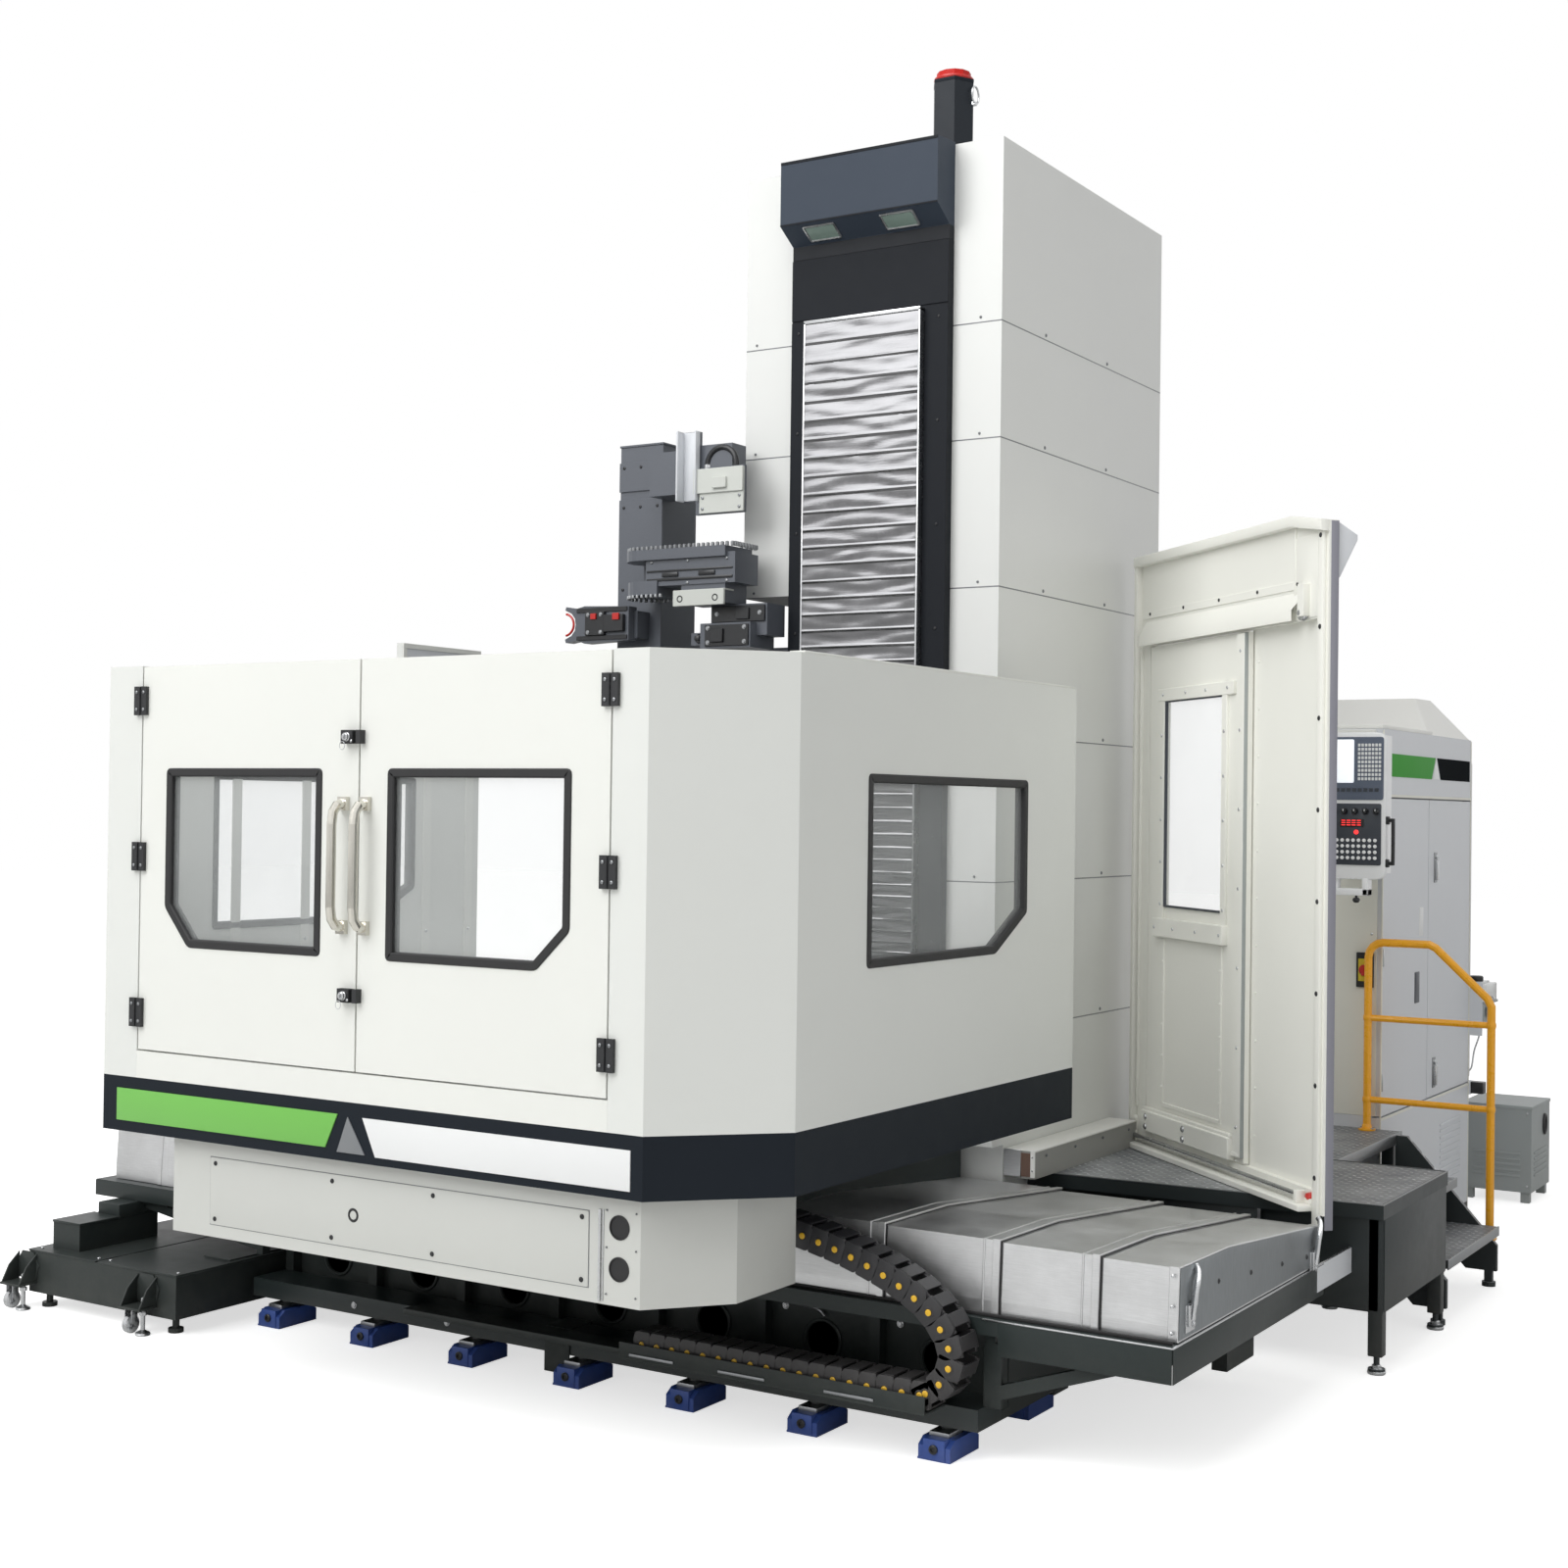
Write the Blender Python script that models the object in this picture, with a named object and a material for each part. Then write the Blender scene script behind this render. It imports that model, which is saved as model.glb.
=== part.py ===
"""Horizontal boring mill in metres: X along the bed, Y away from the operator, Z up, origin on the floor under the middle front foot."""

import math

import bmesh
import bpy
from mathutils import Matrix, Vector

GAP = 0.0003
PAD_PITCH = 0.43
PADS = 7
PAD_END = 0.115
BED_HALF = PADS // 2 * PAD_PITCH + PAD_END
BED_FRONT, BED_BACK, BED_BAYS = 0.10, 1.12, 7
TRAY_Z = 0.402
TRAY = (-BED_HALF - 0.835, BED_HALF + 0.56, -0.04, 1.215)
SADDLE_X = (-1.0, 0.70)
BASE_Z, SKIRT_Z, WALL_Z = 0.76, 0.932, 2.224
FRONT_Y, CHAMFER_Y, WALL_BACK_Y, DECK_BACK_Y = -0.76, -0.46, 1.33, 0.74
FRONT_X = (-1.345, 0.769)
SIDE_X = (-1.631, 1.055)
WALL = 0.03
DOOR_X = (-1.191, -0.264, 0.648)
SILL_Z = 1.017
HINGE_Z = (1.138, 1.626, 2.114)
LOCK_Z = (1.243, 1.994)
COLUMN_X = (-0.20, 0.84)
COLUMN_Y = (1.157, 2.58)
COLUMN_Z = (0.40, 4.11)
SPINDLE_X, SPINDLE_Z = 0.327, 1.08
GUARD_A, GUARD_B = (0.93, 2.18), (1.96, 1.227)
PLATFORM_Z = 0.55
CABINET_X, CABINET_Y = (0.95, 1.59), (3.12, 4.50)
CABINET_SEAM_Y = (CABINET_Y[0] + CABINET_Y[1]) / 2 - 0.01
TABLE_CENTRE = (-0.288, 0.24)
TANK_LENGTH = 0.753


def clear_scene():
    for obj in list(bpy.data.objects):
        bpy.data.objects.remove(obj)


def mesh_object(points, faces):
    mesh = bpy.data.meshes.new("piece")
    mesh.from_pydata(points, [], faces)
    work = bmesh.new()
    work.from_mesh(mesh)
    bmesh.ops.recalc_face_normals(work, faces=work.faces)
    work.to_mesh(mesh)
    work.free()
    obj = bpy.data.objects.new("piece", mesh)
    bpy.context.scene.collection.objects.link(obj)
    return obj


def lofted(first, second):
    """A solid between two outlines of as many points."""
    n = len(first)
    faces = [list(range(n))[::-1], [n + i for i in range(n)]]
    faces += [[i, (i + 1) % n, n + (i + 1) % n, n + i] for i in range(n)]
    return mesh_object(list(first) + list(second), faces)


def prism(outline, along, start, end):
    """The outline holds the two other coordinates, in the order x, y, z."""
    place = {"x": lambda p, s: (s, p[0], p[1]), "y": lambda p, s: (p[0], s, p[1]), "z": lambda p, s: (p[0], p[1], s)}[along]
    return lofted([place(p, start) for p in outline], [place(p, end) for p in outline])


def box(x0, x1, y0, y1, z0, z1):
    return prism([(x0, y0), (x1, y0), (x1, y1), (x0, y1)], "z", z0, z1)


def ring(centre, radius, count, turn=0.0):
    return [
        (centre[0] + radius * math.cos(turn + 2 * math.pi * i / count), centre[1] + radius * math.sin(turn + 2 * math.pi * i / count))
        for i in range(count)
    ]


def cylinder(centre, radius, along, start, end, sides=20, turn=0.0):
    return prism(ring(centre, radius, sides, turn), along, start, end)


def tube(path, radius, sides=10):
    """A round bar along a path that stays in one plane, mitred at its corners."""
    path = [Vector(p) for p in path]
    steps = [(b - a).normalized() for a, b in zip(path, path[1:])]
    flat = next((a.cross(b) for a, b in zip(steps, steps[1:]) if a.cross(b).length > 1e-4), None)
    flat = (flat or steps[0].orthogonal()).normalized()
    rings = []
    for i, point in enumerate(path):
        before, after = steps[max(i - 1, 0)], steps[min(i, len(steps) - 1)]
        tangent = (before + after).normalized()
        stretch = 1 / max(tangent.dot(after), 0.3)
        side = flat.cross(tangent).normalized() * stretch
        rings.append([
            tuple(point + radius * (side * math.cos(2 * math.pi * k / sides) + flat * math.sin(2 * math.pi * k / sides)))
            for k in range(sides)
        ])
    points = [p for one in rings for p in one]
    faces = [list(range(sides)), [len(points) - sides + k for k in range(sides)][::-1]]
    for i in range(len(rings) - 1):
        for k in range(sides):
            m = (k + 1) % sides
            faces.append([i * sides + k, i * sides + m, (i + 1) * sides + m, (i + 1) * sides + k])
    return mesh_object(points, faces)


def solid(name, adds, cuts=()):
    """One closed node out of overlapping pieces, less the cutters."""
    base, others = adds[0], [(piece, "UNION") for piece in adds[1:]] + [(piece, "DIFFERENCE") for piece in cuts]
    for piece, operation in others:
        modifier = base.modifiers.new("join", "BOOLEAN")
        modifier.object, modifier.operation, modifier.solver = piece, operation, "EXACT"
    if others:
        bpy.context.view_layer.update()
        made = bpy.data.meshes.new_from_object(base.evaluated_get(bpy.context.evaluated_depsgraph_get()))
        base.modifiers.clear()
        base.data = made
        for piece, _ in others:
            bpy.data.objects.remove(piece)
    base.name = name
    base.data.name = name
    return base


def arc(centre, radius, start, end, count):
    return [
        (centre[0] + radius * math.cos(math.radians(start + (end - start) * i / count)), centre[1] + radius * math.sin(math.radians(start + (end - start) * i / count)))
        for i in range(count + 1)
    ]


def foot_rail(name, y, bar):
    pieces = [box(*bar)]
    for i in range(PADS):
        x = (i - PADS // 2) * PAD_PITCH
        outline = [(y - 0.0875, 0.0), (y + 0.0875, 0.0), (y + 0.0875, 0.040), (y + 0.060, 0.058), (y - 0.060, 0.058), (y - 0.0875, 0.040)]
        pieces.append(prism(outline, "x", x - 0.05, x + 0.05))
        pieces.append(cylinder((x, y), 0.022, "z", 0.050, bar[4] + 0.006, 12))
    solid(name, pieces)


def bed():
    foot_rail("foot_rail_front", 0.0, (-BED_HALF, BED_HALF, -0.05, BED_FRONT - GAP, 0.088, 0.150))
    foot_rail("foot_rail_middle", 0.5, (-BED_HALF, BED_HALF, 0.45, 0.55, 0.076, 0.088 - GAP))
    foot_rail("foot_rail_rear", 1.06, (-BED_HALF, BED_HALF, 1.01, 1.11, 0.076, 0.088 - GAP))
    casting = [box(-BED_HALF, BED_HALF, BED_FRONT + 0.04, BED_BACK, 0.088, TRAY_Z - 0.014 - GAP)]
    casting.append(box(-BED_HALF, BED_HALF, BED_FRONT, BED_FRONT + 0.05, TRAY_Z - 0.072, TRAY_Z - 0.014 - GAP))
    casting.append(box(-BED_HALF, BED_HALF, BED_FRONT, BED_FRONT + 0.05, 0.088, 0.115))
    rib_pitch = 2 * (BED_HALF - 0.02) / BED_BAYS
    ribs = [i * rib_pitch - BED_HALF + 0.02 for i in range(BED_BAYS + 1)]
    for x in ribs:
        casting.append(box(x - 0.018, x + 0.018, BED_FRONT, BED_FRONT + 0.05, 0.10, TRAY_Z - 0.042))
    holes = [cylinder((x + rib_pitch / 2, 0.215), 0.055, "y", 0.0, BED_FRONT + 0.10, 20) for x in ribs[:-1]]
    solid("bed_casting", casting, holes)
    x0, x1, y0, y1 = TRAY
    tray = [box(x0, x1, y0, y1, TRAY_Z - 0.014, TRAY_Z), box(x0, x1, y0, y0 + 0.02, TRAY_Z - 0.045, TRAY_Z - 0.007)]
    for side in (-1, 1):
        end = x1 if side > 0 else x0
        for y in (y0 + 0.03, y1 - 0.05):
            low = side * (BED_HALF + GAP * 2)
            tip = end - side * 0.03
            foot = 0.16 if side > 0 else 0.23
            tray.append(prism([(low, foot), (low, foot + 0.04), (tip - side * 0.05, TRAY_Z - 0.037), (tip - side * 0.05, TRAY_Z - 0.007), (tip, TRAY_Z - 0.007), (tip, TRAY_Z - 0.057)], "y", y, y + 0.035))
            tray.append(box(*sorted((low, low + side * 0.03)), y, y + 0.035, foot - 0.01, TRAY_Z - 0.007))
    tray.append(box(x1 - 0.265, x1 - 0.215, 0.96, 1.20, 0.085, TRAY_Z - 0.007))
    solid("cover_tray", tray)


def chain_outline():
    """The drag chain's side view: an upper run that comes down, one bend and the lower run that lies on the bed's flange."""
    start, bend, half = SADDLE_X[1], BED_HALF - 0.037, 0.0425
    upper = [(start + (bend - 0.148 - start) * part, z) for part, z in ((0.0, 0.618), (0.26923, 0.596), (0.57692, 0.560), (0.81731, 0.520))]
    turn = [(bend - 0.148, 0.478), (bend - 0.068, 0.425), (bend - 0.015, 0.360), (bend, 0.300), (bend - 0.023, 0.243), (bend - 0.073, 0.205)]
    middle = upper + turn + [(bend - 0.148, 0.1935), (bend - 1.068, 0.1935)]
    left, right = [], []
    for i, (x, z) in enumerate(middle):
        ax, az = middle[max(i - 1, 0)]
        bx, bz = middle[min(i + 1, len(middle) - 1)]
        length = math.hypot(bx - ax, bz - az)
        nx, nz = -(bz - az) / length * half, (bx - ax) / length * half
        left.append((x + nx, z + nz))
        right.append((x - nx, z - nz))
    for i in (-1, -2):
        x, z = middle[i]
        left[i], right[i] = (x, z - half), (x, z + half)
    return left + right[::-1]


def covers():
    solid("drag_chain", [prism(chain_outline(), "y", -0.15, -0.05)])
    low, back, end = TRAY_Z + 0.002, TRAY[3] - 0.01, TRAY[1] - 0.004
    section = [(-0.01, low), (-0.01, low + 0.040), (0.0, low + 0.214), (0.386, low + 0.207), (back, low + 0.136), (back, low)]
    first = SADDLE_X[1] + GAP
    seams = [first + (end - first) * part for part in (0.0, 0.30039, 0.58753, 0.82232, 1.0)]
    for i, (start, end, inset) in enumerate(zip(seams, seams[1:], (0.0, 0.006, 0.012, 0.018))):
        end -= GAP if i < 3 else 0
        outline = [(y + (inset if y < 0.2 else -inset if y > 1 else 0), z - (inset if z > 0.5 else 0)) for y, z in section]
        solid(f"cover_right_{i + 1}", [prism(outline, "x", start, end)])
    left, end = [], TRAY[0] + 0.05
    for i, (start, end, inset) in enumerate([(end + 0.73, SADDLE_X[0] - GAP, 0.0), (end + 0.47, end + 0.735, 0.006), (end + 0.23, end + 0.475, 0.012), (end, end + 0.235, 0.018)]):
        outline = [(y + (inset if y < 0.2 else -inset if y > 1 else 0), z - (inset if z > 0.5 else 0)) for y, z in section]
        left.append(prism(outline, "x", start, end))
    solid("cover_left", left)


def base_outline(inset=0.0, back=WALL_BACK_Y):
    d = inset
    s = inset * 0.42
    return [
        (SIDE_X[0] + d, back), (SIDE_X[0] + d, CHAMFER_Y + s), (FRONT_X[0] + s, FRONT_Y + d),
        (FRONT_X[1] - s, FRONT_Y + d), (SIDE_X[1] - d, CHAMFER_Y + s), (SIDE_X[1] - d, back),
    ]


def enclosure():
    solid("saddle", [box(*SADDLE_X, 0.0, 1.20, TRAY_Z + GAP, 0.64), box(*SADDLE_X, -0.60, 0.74, 0.62, BASE_Z - GAP)])
    cutter = prism(base_outline(0.05, 2.0), "z", BASE_Z + 0.04, 1.2)
    rear = box(SIDE_X[0] + 0.05, SIDE_X[1] - 0.05, DECK_BACK_Y, 2.0, 0.5, 1.2)
    solid("enclosure_base", [prism(base_outline(), "z", BASE_Z, SKIRT_Z)], [cutter, rear])
    apron = [(-1.072, -0.20), (-1.072, -0.71), (0.730, -0.71), (0.900, -0.50), (0.900, -0.20)]
    inner = [(-1.052, -0.10), (-1.052, -0.69), (0.720, -0.69), (0.880, -0.493), (0.880, -0.10)]
    holes = [cylinder((0.66, z), 0.031, "y", -0.80, -0.60, 20) for z in (0.672, 0.560)]
    solid("apron", [prism(apron, "z", 0.461, BASE_Z - GAP)], [prism(inner, "z", 0.40, 0.90)] + holes)
    z0, z1 = SKIRT_Z + GAP, WALL_Z
    c = 0.42 * WALL
    right = [
        (DOOR_X[2] + 0.003, FRONT_Y), (FRONT_X[1], FRONT_Y), (SIDE_X[1], CHAMFER_Y), (SIDE_X[1], WALL_BACK_Y),
        (SIDE_X[1] - WALL, WALL_BACK_Y), (SIDE_X[1] - WALL, CHAMFER_Y + c), (FRONT_X[1] - c, FRONT_Y + WALL), (DOOR_X[2] + 0.003, FRONT_Y + WALL),
    ]
    left = [
        (DOOR_X[0] - 0.003, FRONT_Y), (FRONT_X[0], FRONT_Y), (SIDE_X[0], CHAMFER_Y), (SIDE_X[0], WALL_BACK_Y),
        (SIDE_X[0] + WALL, WALL_BACK_Y), (SIDE_X[0] + WALL, CHAMFER_Y + c), (FRONT_X[0] + c, FRONT_Y + WALL), (DOOR_X[0] - 0.003, FRONT_Y + WALL),
    ]
    side_window = [(-0.083, 1.355), (-0.083, 1.900), (0.948, 1.900), (0.948, 1.475), (0.727, 1.355)]
    solid("enclosure_wall_right", [prism(right, "z", z0, z1)] + [hinge_half(right[0][0], 1, z) for z in HINGE_Z], [prism(side_window, "x", SIDE_X[1] - 0.2, SIDE_X[1] + 0.2)])
    rise = box(SIDE_X[0], SIDE_X[0] + WALL, 0.865, WALL_BACK_Y, WALL_Z - 0.01, 2.432)
    solid("enclosure_wall_left", [prism(left, "z", z0, z1), rise] + [hinge_half(left[0][0], -1, z) for z in HINGE_Z], [prism(side_window, "x", SIDE_X[0] - 0.2, SIDE_X[0] + 0.2)])
    solid("door_sill", [box(DOOR_X[0] - 0.003 + GAP, DOOR_X[2] + 0.003 - GAP, FRONT_Y, FRONT_Y + WALL, z0, SILL_Z)])
    pane = shrunk(side_window, 0.0005)
    for name, x in (("window_side_right", SIDE_X[1]), ("window_side_left", SIDE_X[0] + WALL)):
        solid(name, [prism(pane, "x", x - WALL / 2 - 0.005, x - WALL / 2 + 0.005)])


def shrunk(outline, by):
    """The outline moved inwards: each corner where its two moved sides meet."""
    n = len(outline)
    turn = sum(outline[i][0] * outline[(i + 1) % n][1] - outline[(i + 1) % n][0] * outline[i][1] for i in range(n))
    sign = 1 if turn > 0 else -1
    lines = []
    for i in range(n):
        (ax, ay), (bx, by_) = outline[i], outline[(i + 1) % n]
        length = math.hypot(bx - ax, by_ - ay)
        nx, ny = -(by_ - ay) / length * sign, (bx - ax) / length * sign
        lines.append((ax + nx * by, ay + ny * by, bx - ax, by_ - ay))
    made = []
    for i in range(n):
        x1, y1, dx1, dy1 = lines[i - 1]
        x2, y2, dx2, dy2 = lines[i]
        t = ((x2 - x1) * dy2 - (y2 - y1) * dx2) / (dx1 * dy2 - dy1 * dx2)
        made.append((x1 + dx1 * t, y1 + dy1 * t))
    return made


def hinge_half(edge, inward, z):
    """Half of a block hinge on the front, from the leaf's or the frame's edge inwards."""
    return box(*sorted((edge, edge + inward * 0.024)), FRONT_Y - 0.013, FRONT_Y + 0.003, z - 0.045, z + 0.045)


def doors():
    low, high = SILL_Z + 0.0055, WALL_Z - 0.003
    windows = {
        "left": [(-1.071, 1.473), (-1.071, 1.898), (-0.416, 1.898), (-0.416, 1.354), (-0.969, 1.354)],
        "right": [(-0.148, 1.354), (-0.148, 1.898), (0.511, 1.898), (0.511, 1.463), (0.398, 1.354)],
    }
    for name, x0, x1, handle in (
        ("left", DOOR_X[0] + 0.003, DOOR_X[1] - 0.0035, -0.318),
        ("right", DOOR_X[1] + 0.0035, DOOR_X[2] - 0.003, -0.232),
    ):
        leaf = box(x0, x1, FRONT_Y, FRONT_Y + WALL, low, high)
        edge, inward = (x0, 1) if name == "left" else (x1, -1)
        leaf = [leaf] + [hinge_half(edge, inward, z) for z in HINGE_Z]
        bolt = (x1 - 0.050, x1 - 0.002) if name == "left" else (x0 + 0.002, x0 + 0.018)
        leaf += [box(bolt[0], bolt[1], FRONT_Y - 0.024, FRONT_Y + 0.003, z - 0.020, z + 0.020) for z in LOCK_Z]
        solid(f"door_{name}", leaf, [prism(windows[name], "y", FRONT_Y - 0.1, FRONT_Y + 0.1)])
        pane = shrunk(windows[name], 0.0005)
        solid(f"window_{name}", [prism(pane, "y", FRONT_Y + 0.010, FRONT_Y + 0.020)])
        y = FRONT_Y - GAP
        bend = [(0.012, 1.80), (0.034, 1.794), (0.050, 1.774), (0.055, 1.74), (0.055, 1.50), (0.050, 1.466), (0.034, 1.446), (0.012, 1.44)]
        bar = tube([(handle, y - out, z) for out, z in bend], 0.0145, 12)
        solid(f"door_handle_{name}", [bar] + [box(handle - 0.017, handle + 0.017, y - 0.016, y, z - 0.020, z + 0.020) for z in (1.44, 1.80)])


def table():
    cx, cy = TABLE_CENTRE
    h, c = 0.50, 0.07
    outline = [(cx - h, cy - h + c), (cx - h + c, cy - h), (cx + h - c, cy - h), (cx + h, cy - h + c), (cx + h, cy + h - c - 0.02), (cx + h - c, cy + h - 0.02), (cx - h + c, cy + h - 0.02), (cx - h, cy + h - c - 0.02)]
    slots = [box(cx - 0.42 + i * 0.14 - 0.011, cx - 0.42 + i * 0.14 + 0.011, cy - 1, cy + 1, 0.918, 1.1) for i in range(7)]
    solid("rotary_table", [prism(outline, "z", 0.86, 0.95), cylinder(TABLE_CENTRE, 0.44, "z", BASE_Z + 0.04 + GAP, 0.87, 32)], slots)


def column():
    x0, x1 = COLUMN_X
    y0, y1 = COLUMN_Y
    z0, z1 = COLUMN_Z
    solid("column_body", [box(0.0, x1, y0, y1, 0.66, z1), box(0.0, x1, 1.24, y1, z0, 0.70), box(x0, 0.2, y0, y1, 2.57, z1), box(x0, 0.2, y0 + 0.55, y1, z0, 2.60)])
    solid("column_bed", [box(-0.16, 0.80, 1.225, 3.00, 0.09, z0 - GAP), box(-0.22, 0.86, 1.30, 3.00, 0.0, 0.12), box(-0.16, 0.80, BED_BACK + GAP, 1.30, 0.12, TRAY_Z - 0.017)])
    solid("column_front_frame", [box(0.020, 0.654, y0 - 0.037, y0 - GAP, 0.66, 3.775)])
    y = y0 - 0.037 - GAP
    solid("way_cover_upper", [box(0.095, 0.558, y - 0.03, y, 1.2503, 3.53)])
    solid("way_cover_lower", [box(0.095, 0.558, y - 0.03, y, 0.68, 0.80 - GAP)])
    profile = [(y0 - GAP, 3.776), (y0 - GAP, 4.118), (1.030, 4.108), (1.030, 3.880), (y0 - 0.037, 3.825), (y0 - 0.037, 3.776)]
    solid("head_box", [prism(profile, "x", 0.020, 0.654)])
    post = ring((0.586, 1.268), 0.078, 6)
    cap = ring((0.586, 1.268), 0.060, 12)
    solid("signal_post", [prism(post, "z", z1 + GAP, 4.37), prism(cap, "z", 4.36, 4.40)])
    solid("rail_cover", [box(x1 + GAP, 0.955, 1.25, 2.14, PLATFORM_Z + GAP, 0.645)])
    solid(
        "headstock",
        [box(0.03, 0.62, 0.80, y, 0.80, 1.25), cylinder((SPINDLE_X, SPINDLE_Z), 0.14, "y", 0.765, 0.81, 28), cylinder((SPINDLE_X, SPINDLE_Z), 0.075, "y", 0.62, 0.77, 28)],
        [cylinder((SPINDLE_X, SPINDLE_Z), 0.030, "y", 0.60, 0.70, 20)],
    )


def tool_changer():
    side = COLUMN_X[0]
    tower = [box(-0.725, -0.53, 1.10, 1.32, 2.25, 3.16), box(-0.725, -0.53, 1.25, 2.00, 2.20, 2.45), box(-0.60, side - GAP, 1.74, 2.00, 2.21, 2.44)]
    solid("changer_tower", tower)
    loop = arc((-0.508, 1.0), 0.088, 90, 270, 12) + [(-0.12, 0.912), (-0.12, 1.088)]
    wheel = arc((-0.508, 1.0), 0.082, 90, 270, 12) + [(-0.42, 0.918), (-0.42, 1.082)]
    magazine = [
        box(-0.475, -0.085, 0.925, 1.075, 2.605, 2.715), prism(loop, "z", 2.700, 2.738), prism(wheel, "z", 2.575, 2.625),
        box(-0.56, -0.46, 1.03, 1.10 - GAP, 2.59, 2.70), box(-0.32, -0.13, 0.93, 1.07, 2.535, 2.610),
    ]
    solid("changer_magazine", magazine)
    bracket = [box(-0.368, -0.298, 1.00, 1.02, 2.915, 3.17), box(-0.31, -0.10, 1.00, 1.015, 2.865, 3.035), box(-0.31, -0.16, 1.01, 1.10, 2.98, 3.12), box(-0.53 + GAP, -0.30, 1.015, 1.16, 2.95, 3.11)]
    solid("changer_bracket", bracket)
    block = [box(-0.255, -0.04, 0.96, 1.118, 2.375, 2.465), box(-0.235, 0.005, 1.00, 1.118, 2.42, 2.534), box(-0.315, -0.24, 0.99, 1.05, 2.39, 2.435)]
    solid("changer_lower_block", block + [box(-0.195, -0.155, 1.0, 1.06, 2.45, 2.535 - GAP)])
    fork = [(-0.595, 2.420), (-0.595, 2.545), (-0.80, 2.553), (-0.835, 2.545), (-0.888, 2.553), (-0.892, 2.540), (-0.862, 2.527), (-0.846, 2.508), (-0.842, 2.485), (-0.846, 2.462), (-0.862, 2.443), (-0.892, 2.430), (-0.888, 2.417), (-0.835, 2.425), (-0.80, 2.412)]
    solid("changer_gripper", [prism(fork, "y", 0.985, 1.035), box(-0.68, -0.58, 1.02, 1.10 - GAP, 2.43, 2.53)])


def guard_box(s0, s1, t0, t1, z0, z1):
    """In the guard's own frame: s along it from the column, t towards the operator."""
    return box(s0, s1, -t1, -t0, z0, z1)


def stand_guard(obj):
    """Turns a node from the guard's own frame to its diagonal place."""
    angle = math.atan2(GUARD_B[1] - GUARD_A[1], GUARD_B[0] - GUARD_A[0])
    obj.data.transform(Matrix.Translation((GUARD_A[0], GUARD_A[1], 0)) @ Matrix.Rotation(angle, 4, "Z"))


def guard():
    outline = [(0.0, PLATFORM_Z + GAP), (1.30, PLATFORM_Z + GAP), (1.35, 0.545), (1.403, 0.545), (1.403, 2.735), (1.206, 2.77), (0.0, 2.77)]
    opening = guard_box(0.10, 0.86, -0.1, 0.1, 0.615, 2.43)
    recess = guard_box(0.84, 1.35, -0.024, 0.1, 0.615, 2.43)
    stand_guard(solid("guard_frame", [prism(outline, "y", 0.0, 0.034)], [opening, recess]))
    stand_guard(solid("guard_door", [guard_box(0.106, 0.874, -0.018, 0.0, 0.6215, 2.424)], [guard_box(0.2395, 0.703, -0.1, 0.1, 1.46, 2.218)]))
    stand_guard(solid("guard_window", [guard_box(0.24, 0.7025, -0.013, -0.005, 1.4605, 2.2175)]))
    profile = [(-GAP, 2.439), (-GAP, 2.535), (-0.02, 2.535), (-0.10, 2.455), (-0.10, 2.439)]
    stand_guard(solid("guard_top_cover", [prism(profile, "x", 0.044, 1.25)]))


def platform():
    z = PLATFORM_Z
    plan = [(0.86, 1.405), (1.655, 1.46), (2.07, 1.50), (2.07, 2.28), (0.86, 2.28)]
    front = [prism(plan, "z", z - 0.04, z), box(2.055, 2.07, 1.51, 2.27, 0.20, z - 0.02), box(1.66, 2.06, 1.51, 1.525, 0.20, z - 0.02)]
    near = CABINET_Y[0]
    rear = [box(0.87, 1.675, 2.28 + GAP, near - GAP, z - 0.04, z)]
    for x, y, pieces in ((2.045, 1.53, front), (2.045, 2.24, front), (0.90, 1.46, front), (0.90, 2.24, front), (0.90, 2.33, rear), (0.90, near - 0.05, rear), (1.64, 2.33, rear), (1.64, near - 0.05, rear)):
        pieces.append(box(x - 0.022, x + 0.022, y - 0.022, y + 0.022, 0.06, z - 0.02))
        pieces.append(cylinder((x, y), 0.010, "z", 0.01, 0.07, 10))
        pieces.append(cylinder((x, y), 0.028, "z", 0.0, 0.018, 14))
    solid("platform_front", front)
    solid("platform_rear", rear)
    stair = []
    for y in (2.30, near - 0.085):
        stair.append(prism([(1.675 + GAP, 0.35), (1.675 + GAP, 0.545), (1.72, 0.545), (2.066, 0.16), (2.066, 0.06), (1.95, 0.06)], "y", y, y + 0.0237))
        stair.append(box(2.02, 2.05, y, y + 0.0237, 0.01, 0.10))
        stair.append(cylinder((2.035, y + 0.012), 0.026, "z", 0.0, 0.018, 14))
    for i, (x, high) in enumerate(((1.70, 0.40), (1.86, 0.23))):
        stair.append(box(x, x + 0.21, 2.31, near - 0.07, high - 0.03, high))
    solid("stair", stair)
    bend = arc((1.61, 1.24), 0.06, 180, 90, 4)
    path = [(1.55, z + GAP)] + bend + [(1.79, 1.30), (1.815, 1.288), (2.015, 1.100), (2.03, 1.07), (2.03, 0.18)]
    y = near - 0.0457
    rails = [tube([(x, y, h) for x, h in path], 0.016)]
    for h in (0.998, 0.673):
        rails.append(cylinder((y, h), 0.013, "x", 1.55, 2.03, 10))
    solid("railing", rails)


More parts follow.
